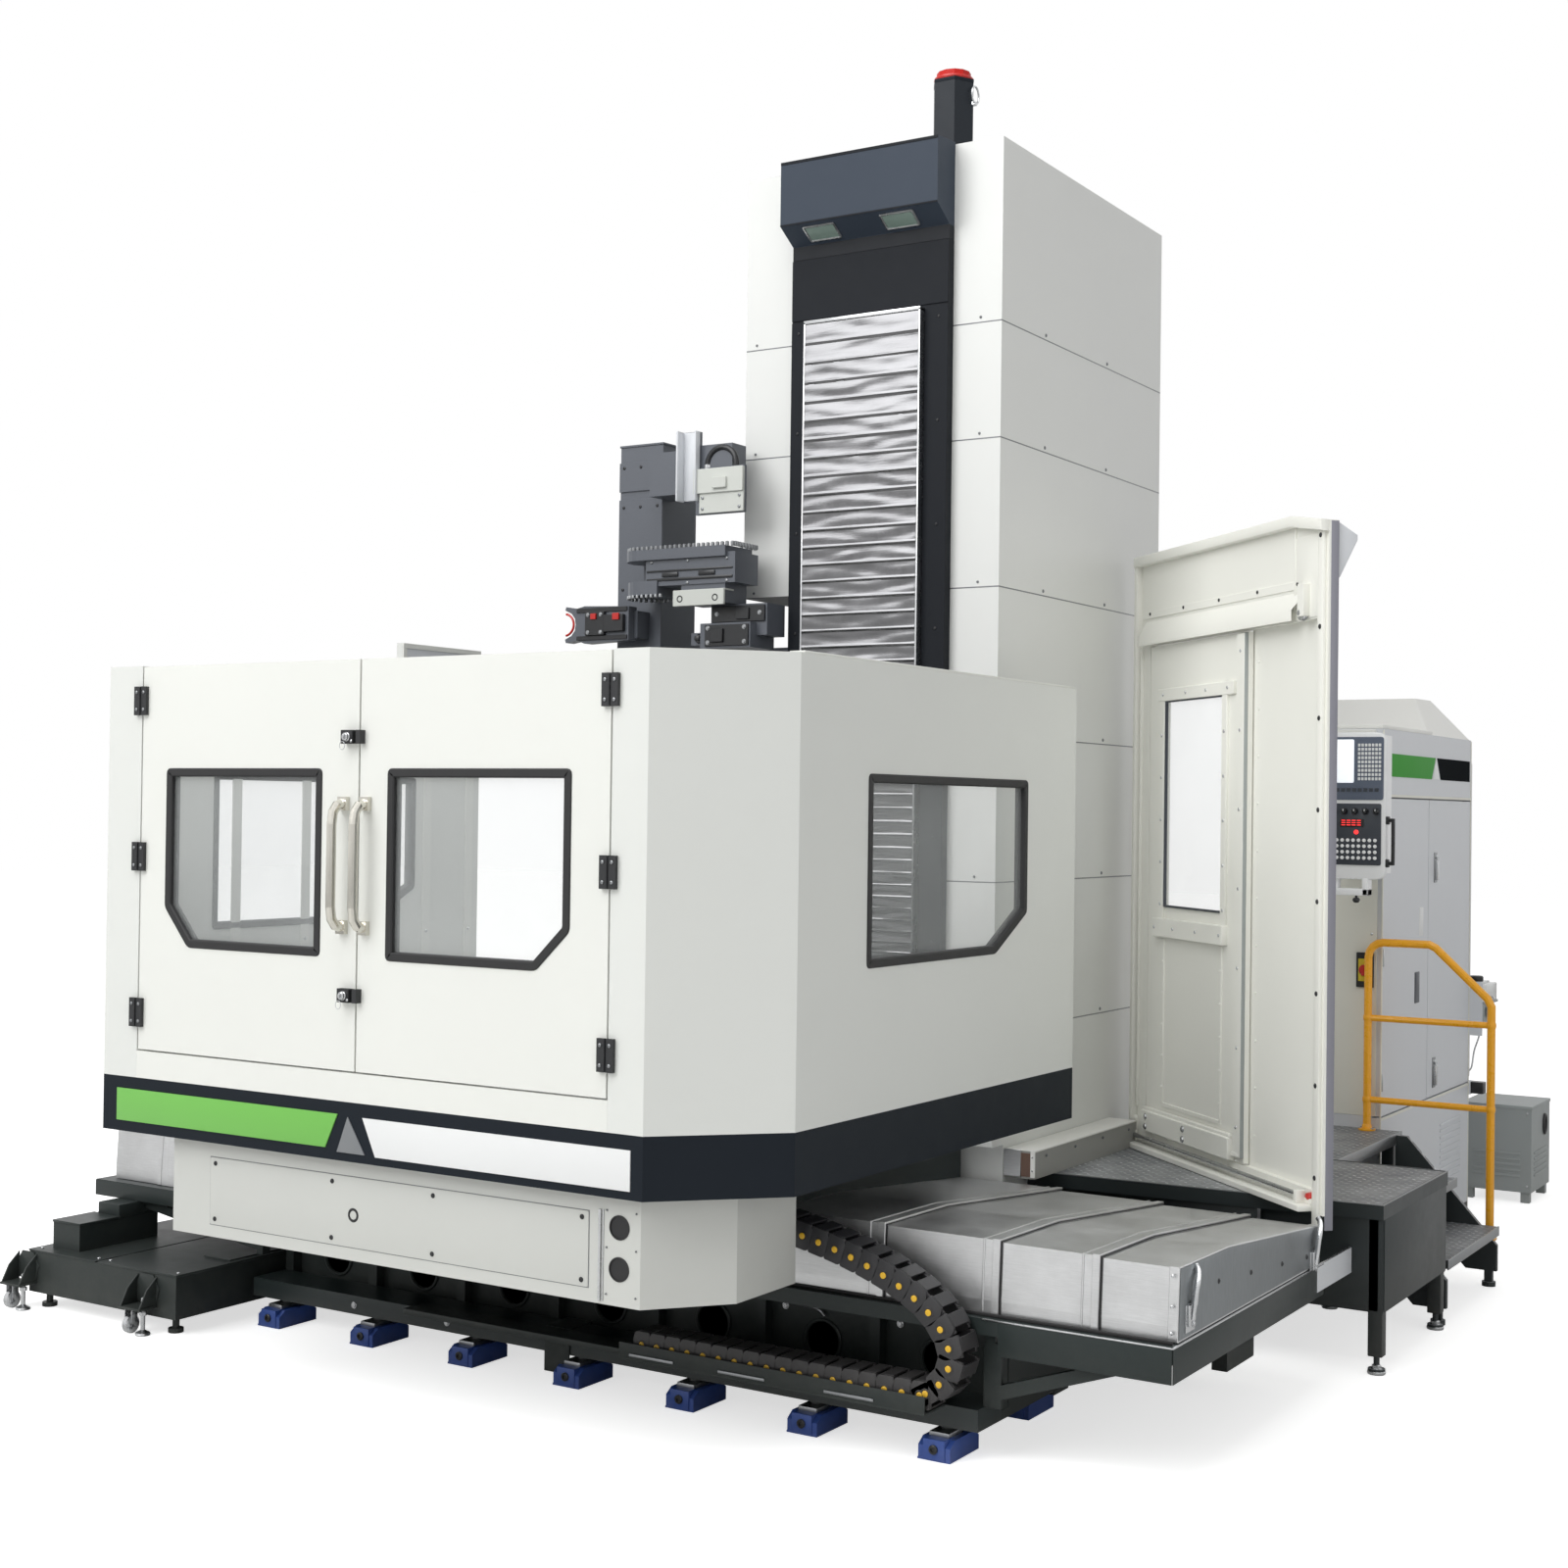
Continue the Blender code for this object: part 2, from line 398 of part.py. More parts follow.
def cabinet():
    x0, x1 = CABINET_X
    y0, y1 = CABINET_Y
    solid("cabinet_body", [box(x0, x1 - 0.036, y0, y1, 0.0, 2.155), box(x0 + 0.1, x1, y0, y1, 1.881, 2.155), box(x0 + 0.1, x1, y0, y1, 0.0, 0.594)])
    solid("cabinet_door_near", [box(x1 - 0.03, x1, y0 + 0.006, CABINET_SEAM_Y - 0.003, 0.60, 1.875)])
    solid("cabinet_door_far", [box(x1 - 0.03, x1, CABINET_SEAM_Y + 0.003, y1 - 0.006, 0.60, 1.875)])
    low = [(x0, y0, 2.155 + GAP), (x1, y0, 2.155 + GAP), (x1, y1, 2.155 + GAP), (x0, y1, 2.155 + GAP)]
    high = [(x0 + 0.12, y0 + 0.15, 2.33), (x1 - 0.14, y0 + 0.15, 2.33), (x1 - 0.14, y1 - 0.25, 2.33), (x0 + 0.12, y1 - 0.25, 2.33)]
    solid("cabinet_hood", [lofted(low, high)])
    far = y1 + 0.40
    solid("transformer_box", [box(1.465, 1.783, far, far + 0.38, 0.05, 0.45)] + [box(x, x + 0.04, y, y + 0.04, 0.0, 0.06) for x in (1.475, 1.733) for y in (far + 0.01, far + 0.33)])
    solid("lubrication_unit", [box(1.40, 1.735, y1 + GAP, y1 + 0.20, 0.82, 1.13)])
    solid("control_panel", [box(1.43, 1.66, y0 - 0.23, y0 - 0.13, 1.58, 2.12), box(1.46, 1.54, y0 - 0.14, y0 - GAP, 1.78, 1.90)])


def tank():
    x1 = -BED_HALF - 0.042
    x0 = x1 - TANK_LENGTH
    pieces = [box(x0, x1, -0.36, 0.30, 0.055, 0.20)]
    for x in (x0 + 0.05, x1 - 0.053):
        for y in (-0.31, 0.25):
            pieces.append(cylinder((x, y), 0.012, "z", 0.01, 0.06, 10))
            pieces.append(cylinder((x, y), 0.026, "z", 0.0, 0.015, 14))
    solid("coolant_tank", pieces)
    solid("pump_box", [box(x0 + 0.05, x0 + 0.19, -0.30, 0.05, 0.20 + GAP, 0.30)])


def main():
    clear_scene()
    bed()
    covers()
    enclosure()
    table()
    doors()
    column()
    tool_changer()
    guard()
    platform()
    cabinet()
    tank()


main()
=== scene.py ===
import math

import bmesh
import bpy
import numpy as np
from mathutils import Matrix, Vector


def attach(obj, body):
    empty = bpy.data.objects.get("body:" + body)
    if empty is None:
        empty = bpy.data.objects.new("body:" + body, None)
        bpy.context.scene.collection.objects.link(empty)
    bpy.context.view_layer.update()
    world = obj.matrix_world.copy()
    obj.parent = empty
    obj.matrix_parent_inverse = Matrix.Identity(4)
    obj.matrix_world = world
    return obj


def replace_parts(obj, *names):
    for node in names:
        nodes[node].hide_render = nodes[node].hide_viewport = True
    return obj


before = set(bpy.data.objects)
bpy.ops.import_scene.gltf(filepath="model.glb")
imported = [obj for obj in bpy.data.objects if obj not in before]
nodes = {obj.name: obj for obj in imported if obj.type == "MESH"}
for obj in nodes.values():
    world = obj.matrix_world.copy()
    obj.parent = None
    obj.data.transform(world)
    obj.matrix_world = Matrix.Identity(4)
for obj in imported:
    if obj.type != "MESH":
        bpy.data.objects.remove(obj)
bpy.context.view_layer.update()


# camera, floor and lamps

cameraSet = {"place": (3.999, -5.213, 1.8), "yaw": 32.20757, "pitch": -0.69661, "roll": -0.74822, "lens": 47.736}
lightSet = {
    "world": 0.4, "floorColour": (0.9, 0.9, 0.89, 1), "floorGlow": 0.66, "floorHalf": 40, "floorZ": -0.0005,
    "lamps": [
        ("keyLamp", (-4.0, -10.5, 9.5), 8.0, 950, (0.3, 0.6, 1.6)),
        ("fillLamp", (10.5, -1.0, 4.5), 4.0, 60, (1.0, 1.8, 1.4)),
        ("topLamp", (0.8, -3.5, 9.5), 6.0, 320, (1.0, 1.0, 1.0)),
    ],
}


def aimMatrix(place, forward, up):
    f = np.array(forward, float) / np.linalg.norm(forward)
    r = np.cross(f, up)
    r = r / np.linalg.norm(r)
    u = np.cross(r, f)
    m = np.eye(4)
    m[:3, 0], m[:3, 1], m[:3, 2], m[:3, 3] = r, u, -f, place
    return Matrix(m.tolist())


def makeCamera(s):
    a, b, c = (math.radians(s[k]) for k in ("yaw", "pitch", "roll"))
    forward = np.array([-math.sin(a) * math.cos(b), math.cos(a) * math.cos(b), -math.sin(b)])
    right = np.array([math.cos(a), math.sin(a), 0.0])
    down = np.cross(forward, right)
    down = -math.sin(c) * right + math.cos(c) * down  # the roll turns the picture about its centre
    data = bpy.data.cameras.new("photoCamera")
    data.lens, data.sensor_width = s["lens"], 36.0
    data.clip_start, data.clip_end = 0.1, 200.0
    cam = bpy.data.objects.new("photoCamera", data)
    bpy.context.scene.collection.objects.link(cam)
    cam.matrix_world = aimMatrix(s["place"], forward, -down)
    bpy.context.scene.camera = cam


def setInputs(tree, node, **values):
    # each input goes by its name, or by i and its number, and is linked or set
    for key, value in values.items():
        numbered = key[0] == "i" and key[1:].isdigit()
        socket = node.inputs[int(key[1:]) if numbered else key.replace("_", " ")]
        if isinstance(value, bpy.types.NodeSocket):
            tree.links.new(value, socket)
        else:
            socket.default_value = value


def nodeOf(tree, kind, settings=None, **values):
    node = tree.nodes.new(kind)
    for key, value in (settings or {}).items():
        setattr(node, key, value)
    setInputs(tree, node, **values)
    return node


def maths(tree, operation, a, b=0.0, c=0.0, clamp=False):
    return nodeOf(tree, "ShaderNodeMath", {"operation": operation, "use_clamp": clamp}, i0=a, i1=b, i2=c).outputs[0]


def plus(tree, a, b, clamp=False):
    return maths(tree, "ADD", a, b, clamp=clamp)


def minus(tree, a, b, clamp=False):
    return maths(tree, "SUBTRACT", a, b, clamp=clamp)


def times(tree, a, b, clamp=False):
    return maths(tree, "MULTIPLY", a, b, clamp=clamp)


def swung(tree, value, middle, amount, clamp=False):
    # how far a value is off the middle, times an amount
    return times(tree, minus(tree, value, middle), amount, clamp)


def rgba(colour):
    # three numbers get an alpha of 1, and sockets pass through
    return (*colour, 1.0) if isinstance(colour, tuple) and len(colour) == 3 else colour


def mixColour(tree, mask, a, b):
    return nodeOf(tree, "ShaderNodeMix", {"data_type": "RGBA"}, i0=mask, i6=rgba(a), i7=rgba(b)).outputs[2]


def placeOf(tree, kind="Object"):
    return tree.nodes.new("ShaderNodeTexCoord").outputs[kind]


def coordinateOf(tree, axis, kind="Object"):
    return nodeOf(tree, "ShaderNodeSeparateXYZ", None, Vector=placeOf(tree, kind)).outputs[axis]


def noiseOf(tree, place, scale, detail, rough=0.5):
    noise = nodeOf(tree, "ShaderNodeTexNoise", None, Vector=place, Scale=scale, Detail=detail, Roughness=rough)
    return noise.outputs[0]


def newMaterial(name):
    mat = bpy.data.materials.new(name)
    mat.use_nodes = True
    mat.node_tree.nodes.clear()
    return mat, mat.node_tree


def makeWorld(s):
    # the camera, mirrors and panes see white, and what lights the scene is dimmer
    world = bpy.data.worlds.new("studio")
    bpy.context.scene.world = world
    world.use_nodes = True
    tree = world.node_tree
    tree.nodes.clear()
    path = tree.nodes.new("ShaderNodeLightPath").outputs
    seen = maths(tree, "MAXIMUM", path["Is Camera Ray"], path["Is Glossy Ray"])
    seen = maths(tree, "MAXIMUM", seen, path["Is Transmission Ray"])
    strength = plus(tree, times(tree, seen, 1.0 - s["world"]), s["world"])
    back = nodeOf(tree, "ShaderNodeBackground", None, Color=(1, 1, 1, 1), Strength=strength)
    nodeOf(tree, "ShaderNodeOutputWorld", None, i0=back.outputs[0])


def makeFloor(s):
    # a white floor that glows for the camera alone
    w, z = s["floorHalf"], s["floorZ"]
    mesh = bpy.data.meshes.new("floor")
    mesh.from_pydata([(-w, -w, z), (w, -w, z), (w, w, z), (-w, w, z)], [], [(0, 1, 2, 3)])
    floor = bpy.data.objects.new("floor", mesh)
    bpy.context.scene.collection.objects.link(floor)
    mat, tree = newMaterial("studioFloor")
    path = tree.nodes.new("ShaderNodeLightPath").outputs
    shade = nodeOf(tree, "ShaderNodeBsdfDiffuse", None, Color=s["floorColour"]).outputs[0]
    glow = nodeOf(tree, "ShaderNodeEmission", None, Color=(1, 1, 1, 1), Strength=s["floorGlow"]).outputs[0]
    both = nodeOf(tree, "ShaderNodeAddShader", None, i0=shade, i1=glow).outputs[0]
    mix = nodeOf(tree, "ShaderNodeMixShader", None, i0=path["Is Camera Ray"], i1=shade, i2=both).outputs[0]
    nodeOf(tree, "ShaderNodeOutputMaterial", None, i0=mix)
    floor.data.materials.append(mat)


def makeLamps(s):
    for name, place, size, power, target in s["lamps"]:
        data = bpy.data.lights.new(name, "AREA")
        data.shape, data.size, data.energy = "SQUARE", size, power
        lamp = bpy.data.objects.new(name, data)
        bpy.context.scene.collection.objects.link(lamp)
        lamp.matrix_world = aimMatrix(place, np.array(target) - np.array(place), (0, 0, 1.0001))


bpy.context.scene.view_settings.view_transform = "Standard"
makeCamera(cameraSet)
makeWorld(lightSet)
makeFloor(lightSet)
makeLamps(lightSet)
print("camera and stage made")


# node groups that several finishes share

def newGroup(name, **inputs):
    # inputs without a value are vectors; every group gives a colour, a roughness and a height
    group = bpy.data.node_groups.new(name, "ShaderNodeTree")
    for label, value in inputs.items():
        kind = "Vector" if value is None else "Color" if isinstance(value, tuple) else "Float"
        socket = group.interface.new_socket(label, in_out="INPUT", socket_type="NodeSocket" + kind)
        if value is not None:
            socket.default_value = value
    for label, kind in (("Colour", "Color"), ("Roughness", "Float"), ("Height", "Float")):
        group.interface.new_socket(label, in_out="OUTPUT", socket_type="NodeSocket" + kind)
    return group, group.nodes.new("NodeGroupInput").outputs


def endGroup(group, colour, rough, height):
    nodeOf(group, "NodeGroupOutput", None, Colour=colour, Roughness=rough, Height=height)
    return group


def toned(group, colour, bright):
    grey = nodeOf(group, "ShaderNodeCombineColor", None, Red=bright, Green=bright, Blue=bright).outputs[0]
    blend = {"data_type": "RGBA", "blend_type": "MULTIPLY"}
    return nodeOf(group, "ShaderNodeMix", blend, i0=1.0, i6=colour, i7=grey).outputs[2]


def makePaintGroup(dustColour):
    # sprayed enamel: a fine pebble, slow tone changes and dust that gathers low down
    group, put = newGroup(
        "sprayedEnamel", Paint=(0.8, 0.8, 0.8, 1), Pebble=700.0, Tone=0.04, Rough=0.4, Dust=0.2, DustTop=0.6
    )
    place = placeOf(group)
    fine = noiseOf(group, place, put["Pebble"], 2.0)
    slow = noiseOf(group, place, 1.7, 5.0, 0.6)
    mid = noiseOf(group, place, 14.0, 6.0, 0.65)
    low = minus(group, 1.0, maths(group, "DIVIDE", coordinateOf(group, 2), put["DustTop"]), clamp=True)
    dust = times(group, times(group, low, mid), put["Dust"], clamp=True)
    swing = swung(group, slow, 0.5, put["Tone"])
    swing = plus(group, swing, swung(group, fine, 0.5, times(group, put["Tone"], 0.6)))
    colour = mixColour(group, dust, toned(group, put["Paint"], plus(group, 1.0, swing)), dustColour)
    rough = plus(group, put["Rough"], swung(group, mid, 0.5, 0.14))
    return endGroup(group, colour, plus(group, rough, times(group, dust, 0.5), clamp=True), fine)


def makeBrushedGroup():
    # rolled or brushed sheet: fine lines along one way, cloudy tone and shallow dents
    group, put = newGroup(
        "brushedSheet", Vector=None, Metal=(0.6, 0.6, 0.6, 1), Lines=500.0, Spread=None, Cloud=0.15, Rough=0.3,
        Dents=5.0
    )
    lines = noiseOf(group, put["Vector"], put["Lines"], 3.0)
    cloud = noiseOf(group, placeOf(group), 4.5, 7.0, 0.7)
    dents = noiseOf(group, put["Spread"], put["Dents"], 1.0)
    swing = plus(group, swung(group, cloud, 0.5, put["Cloud"]), swung(group, lines, 0.5, 0.25))
    colour = toned(group, put["Metal"], plus(group, 1.0, swing))
    rough = plus(group, put["Rough"], swung(group, cloud, 0.5, 0.35), clamp=True)
    return endGroup(group, colour, rough, plus(group, times(group, dents, 12.0), lines))


paintGroup = makePaintGroup((0.33, 0.3, 0.26))
brushedGroup = makeBrushedGroup()


def startMaterial(name):
    mat, tree = newMaterial(name)
    shader = tree.nodes.new("ShaderNodeBsdfPrincipled")
    nodeOf(tree, "ShaderNodeOutputMaterial", None, i0=shader.outputs[0])
    return mat, tree, shader


def addBump(tree, shader, height, strength, distance):
    bump = nodeOf(tree, "ShaderNodeBump", None, Height=height, Strength=strength, Distance=distance)
    setInputs(tree, shader, Normal=bump.outputs[0])


def coated(tree, shader, group, bump, distance, **values):
    # a group's colour, roughness and height on the shader
    coat = nodeOf(tree, "ShaderNodeGroup", {"node_tree": group}, **values)
    setInputs(tree, shader, Base_Color=coat.outputs["Colour"], Roughness=coat.outputs["Roughness"])
    addBump(tree, shader, coat.outputs["Height"], bump, distance)
    return coat


def paintMaterial(name, colour, rough, dust, pebble=700.0, tone=0.05, dustTop=0.6, bump=0.12, recolour=None, gloss=0.5):
    mat, tree, shader = startMaterial(name)
    setInputs(tree, shader, Specular_IOR_Level=gloss)
    values = {"Paint": rgba(colour), "Pebble": pebble, "Tone": tone, "Rough": rough, "Dust": dust, "DustTop": dustTop}
    coat = coated(tree, shader, paintGroup, bump, 0.0006, **values)
    if recolour:
        setInputs(tree, coat, Paint=recolour(tree))
    return mat


def metalMaterial(name, colour, stretch, lines, cloud, rough, bump=0.2, dents=5.0, spread=(1.0, 1.0, 1.0)):
    mat, tree, shader = startMaterial(name)
    place = placeOf(tree)
    fine, wide = (nodeOf(tree, "ShaderNodeMapping", None, Vector=place, Scale=k).outputs[0] for k in (stretch, spread))
    values = {"Metal": rgba(colour), "Lines": lines, "Cloud": cloud, "Rough": rough, "Dents": dents}
    coated(tree, shader, brushedGroup, bump, 0.001, Vector=fine, Spread=wide, **values)
    setInputs(tree, shader, Metallic=1.0)
    return mat


def glassMaterial(name, tint, clear):
    # thin pane: mostly see-through, with a plain gloss
    mat, tree, shader = startMaterial(name)
    smear = times(tree, noiseOf(tree, placeOf(tree), 3.0, 4.0), 0.1)
    setInputs(tree, shader, Base_Color=rgba(tint), Roughness=0.03, Alpha=plus(tree, smear, 1 - clear, clamp=True))
    return mat


def glowMaterial(name, colour, strength):
    mat, tree, shader = startMaterial(name)
    cloud = noiseOf(tree, placeOf(tree), 60.0, 2.0)
    lit = mixColour(tree, cloud, colour, tuple(min(1.0, c * 1.2) for c in colour))
    setInputs(tree, shader, Base_Color=lit, Emission_Color=lit, Emission_Strength=strength, Roughness=0.25)
    return mat


def heightSplit(z, lower, upper):
    # two paints that meet at one height
    return lambda tree: mixColour(tree, maths(tree, "GREATER_THAN", coordinateOf(tree, 2), z), lower, upper)


def hingesBlack(paint, black, frontY):
    # whatever stands in front of the sheet is the black of the hinges and bolts
    return lambda tree: mixColour(tree, maths(tree, "LESS_THAN", coordinateOf(tree, 1), frontY), paint, black)


def seamed(heights, half, paint, seam):
    # painted shade: dark lines at some heights stand in for the shade in the grooves between panels
    def build(tree):
        z, mask = coordinateOf(tree, 2), 0.0
        for h in heights:
            mask = maths(tree, "MAXIMUM", mask, maths(tree, "COMPARE", z, h, half))
        return mixColour(tree, mask, paint, seam)
    return build


def treadMaterial(name, s):
    # tread plate, on faces that look up: lozenges in a square grid, turned a quarter from cell to cell
    mat, tree, shader = startMaterial(name)
    place = placeOf(tree)
    turn, scale = (0, 0, math.radians(45)), (1 / s["pitch"], 1 / s["pitch"], 1)
    grid = nodeOf(tree, "ShaderNodeMapping", None, Vector=place, Rotation=turn, Scale=scale).outputs[0]
    parts = nodeOf(tree, "ShaderNodeSeparateXYZ", None, Vector=grid).outputs
    cells = [maths(tree, "FLOOR", parts[i]) for i in (0, 1)]
    offsets = [maths(tree, "ABSOLUTE", minus(tree, minus(tree, parts[i], cells[i]), 0.5)) for i in (0, 1)]
    parity = maths(tree, "MODULO", plus(tree, plus(tree, *cells), 1000.0), 2.0)
    longer = plus(tree, times(tree, offsets[0], parity), times(tree, offsets[1], minus(tree, 1.0, parity)))
    shorter = minus(tree, plus(tree, *offsets), longer)
    edge = plus(tree, times(tree, longer, 2.4), times(tree, shorter, 7.5))
    flat = maths(tree, "GREATER_THAN", coordinateOf(tree, 2, "Normal"), 0.5)
    raised = times(tree, times(tree, minus(tree, 1.15, edge), 3.0, clamp=True), flat)
    rub = times(tree, raised, swung(tree, noiseOf(tree, place, 9.0, 6.0, 0.7), 0.36, 3.0, clamp=True))
    cloud = swung(tree, noiseOf(tree, place, 2.2, 8.0, 0.65), 0.45, 2.0, clamp=True)
    base = mixColour(tree, flat, s["side"], mixColour(tree, cloud, s["colour"], s["dust"]))
    rough, metal = minus(tree, 0.52, times(tree, rub, 0.18)), times(tree, rub, 0.6)
    setInputs(tree, shader, Base_Color=mixColour(tree, rub, base, s["worn"]), Roughness=rough, Metallic=metal)
    addBump(tree, shader, raised, 0.6, 0.0022)
    return mat


seamHeights = (3.48, 3.08, 2.57, 2.06, 1.56, 1.05)
# painted shade: wall is the white paint darkened to stand in for the weaker light on the enclosure's walls
white, wall, columnWhite = (0.8, 0.81, 0.77), (0.75, 0.765, 0.735), (0.79, 0.8, 0.78)
black, casting, hinge = (0.013, 0.017, 0.023), (0.02, 0.028, 0.028), (0.014, 0.015, 0.017)
frameBlack, headBlack = (0.015, 0.017, 0.021), (0.046, 0.059, 0.081)
darkSteel, red = (0.022, 0.028, 0.029), (0.55, 0.02, 0.015)
textured = {"pebble": 420.0, "tone": 0.12, "bump": 0.25}
# key: material name, colour, roughness, dust and what else differs
paints = {
    "white": ("offWhiteEnamel", white, 0.46, 0.1, {"dustTop": 0.8}),
    "doorWhite": ("doorEnamel", white, 0.44, 0.08, {"dustTop": 0.8, "recolour": hingesBlack(white, hinge, -0.7608)}),
    # painted shade: the enclosure's walls get the darkened white
    "wallWhite": ("shadedWallEnamel", wall, 0.46, 0.08, {"dustTop": 0.8, "recolour": hingesBlack(wall, hinge, -0.7608)}),
    # painted shade: the apron gets the white paint darkened for the shade it stands in, set back and tilted under the
    # enclosure
    "apronWhite": ("shadedApronEnamel", (0.6, 0.61, 0.58), 0.46, 0.12, {"dustTop": 0.8}),
    "columnWhite": ("columnEnamel", columnWhite, 0.46, 0.08, {
        # painted shade in the grooves at the panel seams
        "recolour": seamed(seamHeights, 0.0022, columnWhite, (0.09, 0.09, 0.09))
    }),
    "black": ("blueBlackEnamel", black, 0.46, 0.1, {**textured, "gloss": 0.1}),
    "headBlack": ("headBoxEnamel", headBlack, 0.46, 0.0, {
        **textured, "gloss": 0.14, "recolour": heightSplit(3.8245, frameBlack, headBlack)
    }),
    "postBlack": ("signalPostEnamel", black, 0.46, 0.0, {
        **textured, "gloss": 0.22, "recolour": heightSplit(4.3605, black, red)
    }),
    "frameBlack": ("columnFrameEnamel", frameBlack, 0.5, 0.05, {**textured, "gloss": 0.1}),
    "casting": ("machineEnamel", casting, 0.36, 0.16, {
        "pebble": 260.0, "tone": 0.2, "dustTop": 0.5, "bump": 0.2, "gloss": 0.25
    }),
    "footRail": ("levellingPadBlue", (0.012, 0.07, 0.33), 0.35, 0.3, {
        "tone": 0.2, "dustTop": 0.12, "recolour": heightSplit(0.066, (0.01, 0.065, 0.33), casting)
    }),
    "yellow": ("railYellow", (0.94, 0.43, 0.016), 0.28, 0.1, {}),
    "grey": ("cabinetGrey", (0.7, 0.72, 0.75), 0.42, 0.1, {}),
    "trafoGrey": ("transformerGrey", (0.36, 0.39, 0.39), 0.45, 0.25, {}),
    "cream": ("cabinetCream", (0.8, 0.795, 0.72), 0.45, 0.1, {}),
    "hoodWhite": ("hoodEnamel", (0.88, 0.88, 0.84), 0.42, 0.04, {}),
    # painted light: the guard's own pale paint, lightened to make up for the light that the enclosure's shadow keeps
    # off it
    "guardCream": ("guardCream", (0.88, 0.88, 0.82), 0.4, 0.04, {}),
    "darkSteel": (
        "platformEnamel", darkSteel, 0.38, 0.2, {"pebble": 380.0, "tone": 0.15, "dustTop": 0.4, "gloss": 0.3}
    ),
    "chain": ("chainNylon", (0.016, 0.016, 0.019), 0.45, 0.2, {"pebble": 400.0, "tone": 0.15}),
    # painted shade and reflection: the rail cover's steel side is painted mid-grey for its shade and the dark platform
    # it reflects
    "beamSide": ("beamSide", (0.36, 0.36, 0.34), 0.34, 0.05, {}),
    "boardBrown": ("boardBrown", (0.16, 0.095, 0.07), 0.5, 0.1, {"tone": 0.3}),
    "cabinetGreen": ("cabinetGreen", (0.085, 0.37, 0.075), 0.6, 0.0, {"gloss": 0.05}),
    "plateBlack": ("plateBlack", (0.018, 0.02, 0.022), 0.75, 0.0, {"gloss": 0.0}),
    "edgeGrey": ("postEdgeGrey", (0.27, 0.27, 0.31), 0.5, 0.05, {"gloss": 0.2}),
    "reservoir": ("reservoirPlastic", (0.86, 0.87, 0.86), 0.25, 0.0, {}),
    "rubber": ("gasketRubber", (0.012, 0.012, 0.013), 0.62, 0.05, {"pebble": 900.0, "tone": 0.1}),
    "blackPlastic": ("blackPlastic", (0.012, 0.013, 0.015), 0.32, 0.05, {"pebble": 1200.0, "tone": 0.1}),
    "green": ("bandGreen", (0.17, 0.5, 0.085), 0.34, 0.05, {"dustTop": 0.9}),
    "bandGrey": ("bandGrey", (0.2, 0.21, 0.22), 0.34, 0.05, {}),
    "bandWhite": ("bandWhite", (0.82, 0.83, 0.83), 0.34, 0.05, {}),
    "dotYellow": ("linkPinYellow", (0.8, 0.47, 0.02), 0.35, 0.15, {}),
    "changerGrey": ("changerEnamel", (0.105, 0.115, 0.135), 0.38, 0.1, {"pebble": 300.0, "tone": 0.25}),
    "changerCream": ("changerCream", (0.62, 0.64, 0.6), 0.38, 0.05, {}),
    "panelWhite": ("panelWhite", (0.88, 0.89, 0.9), 0.3, 0.02, {}),
    "panelDark": ("panelDark", (0.035, 0.042, 0.055), 0.35, 0.02, {"tone": 0.15}),
    "screen": ("screenGlass", (0.12, 0.145, 0.2), 0.12, 0.0, {"tone": 0.2, "bump": 0.0}),
    "redPlastic": ("redPlastic", red, 0.3, 0.05, {}),
    "yellowPlate": ("switchYellow", (0.7, 0.56, 0.03), 0.35, 0.05, {}),
}
# key: material name, colour, stretch of the lines, their scale, cloud, roughness and what else differs
metals = {
    "stainless": ("coverStainless", (0.6, 0.605, 0.61), (0.05, 1, 1), 420.0, 0.45, 0.4, {"bump": 0.15}),
    # painted reflection: the end plate's steel is darkened to stand in for the dark surroundings its face reflects
    "shadedCoverEnd": ("shadedCoverEndSteel", (0.23, 0.245, 0.255), (1, 1, 0.2), 120.0, 0.5, 0.42, {"bump": 0.1}),
    "wayCover": (
        "wayCoverStainless", (0.165, 0.165, 0.17), (0.12, 1, 1), 60.0, 0.7, 0.2,
        {"bump": 0.34, "dents": 11.0, "spread": (0.16, 1, 1)}
    ),
    "handle": ("handleStainless", (0.66, 0.64, 0.58), (1, 1, 0.1), 300.0, 0.1, 0.16, {"bump": 0.05}),
    "chrome": ("boltSteel", (0.55, 0.56, 0.57), (1, 1, 1), 300.0, 0.3, 0.28, {"bump": 0.05}),
    "rawSteel": ("rawSteel", (0.3, 0.31, 0.32), (1, 0.2, 1), 200.0, 0.5, 0.36, {"bump": 0.1}),
    "iron": ("groundIron", (0.42, 0.43, 0.44), (1, 0.04, 1), 500.0, 0.25, 0.34, {}),
}
treadSet = {
    "pitch": 0.034, "colour": (0.17, 0.18, 0.19), "worn": (0.88, 0.9, 0.92), "dust": (0.6, 0.61, 0.62),
    "side": darkSteel,
}
finishes = {key: paintMaterial(*row, **more) for key, (*row, more) in paints.items()}
finishes |= {key: metalMaterial(*row, **more) for key, (*row, more) in metals.items()}
finishes |= {
    "glass": glassMaterial("windowPane", (0.84, 0.88, 0.88), 0.9),
    "display": glowMaterial("displayWhite", (0.8, 0.84, 0.92), 0.55),
    "lens": glowMaterial("lampLens", (0.2, 0.27, 0.235), 0.05),
    "redGlow": glowMaterial("displayRed", (0.85, 0.03, 0.03), 1.4),
    "tread": treadMaterial("treadPlate", treadSet),
}
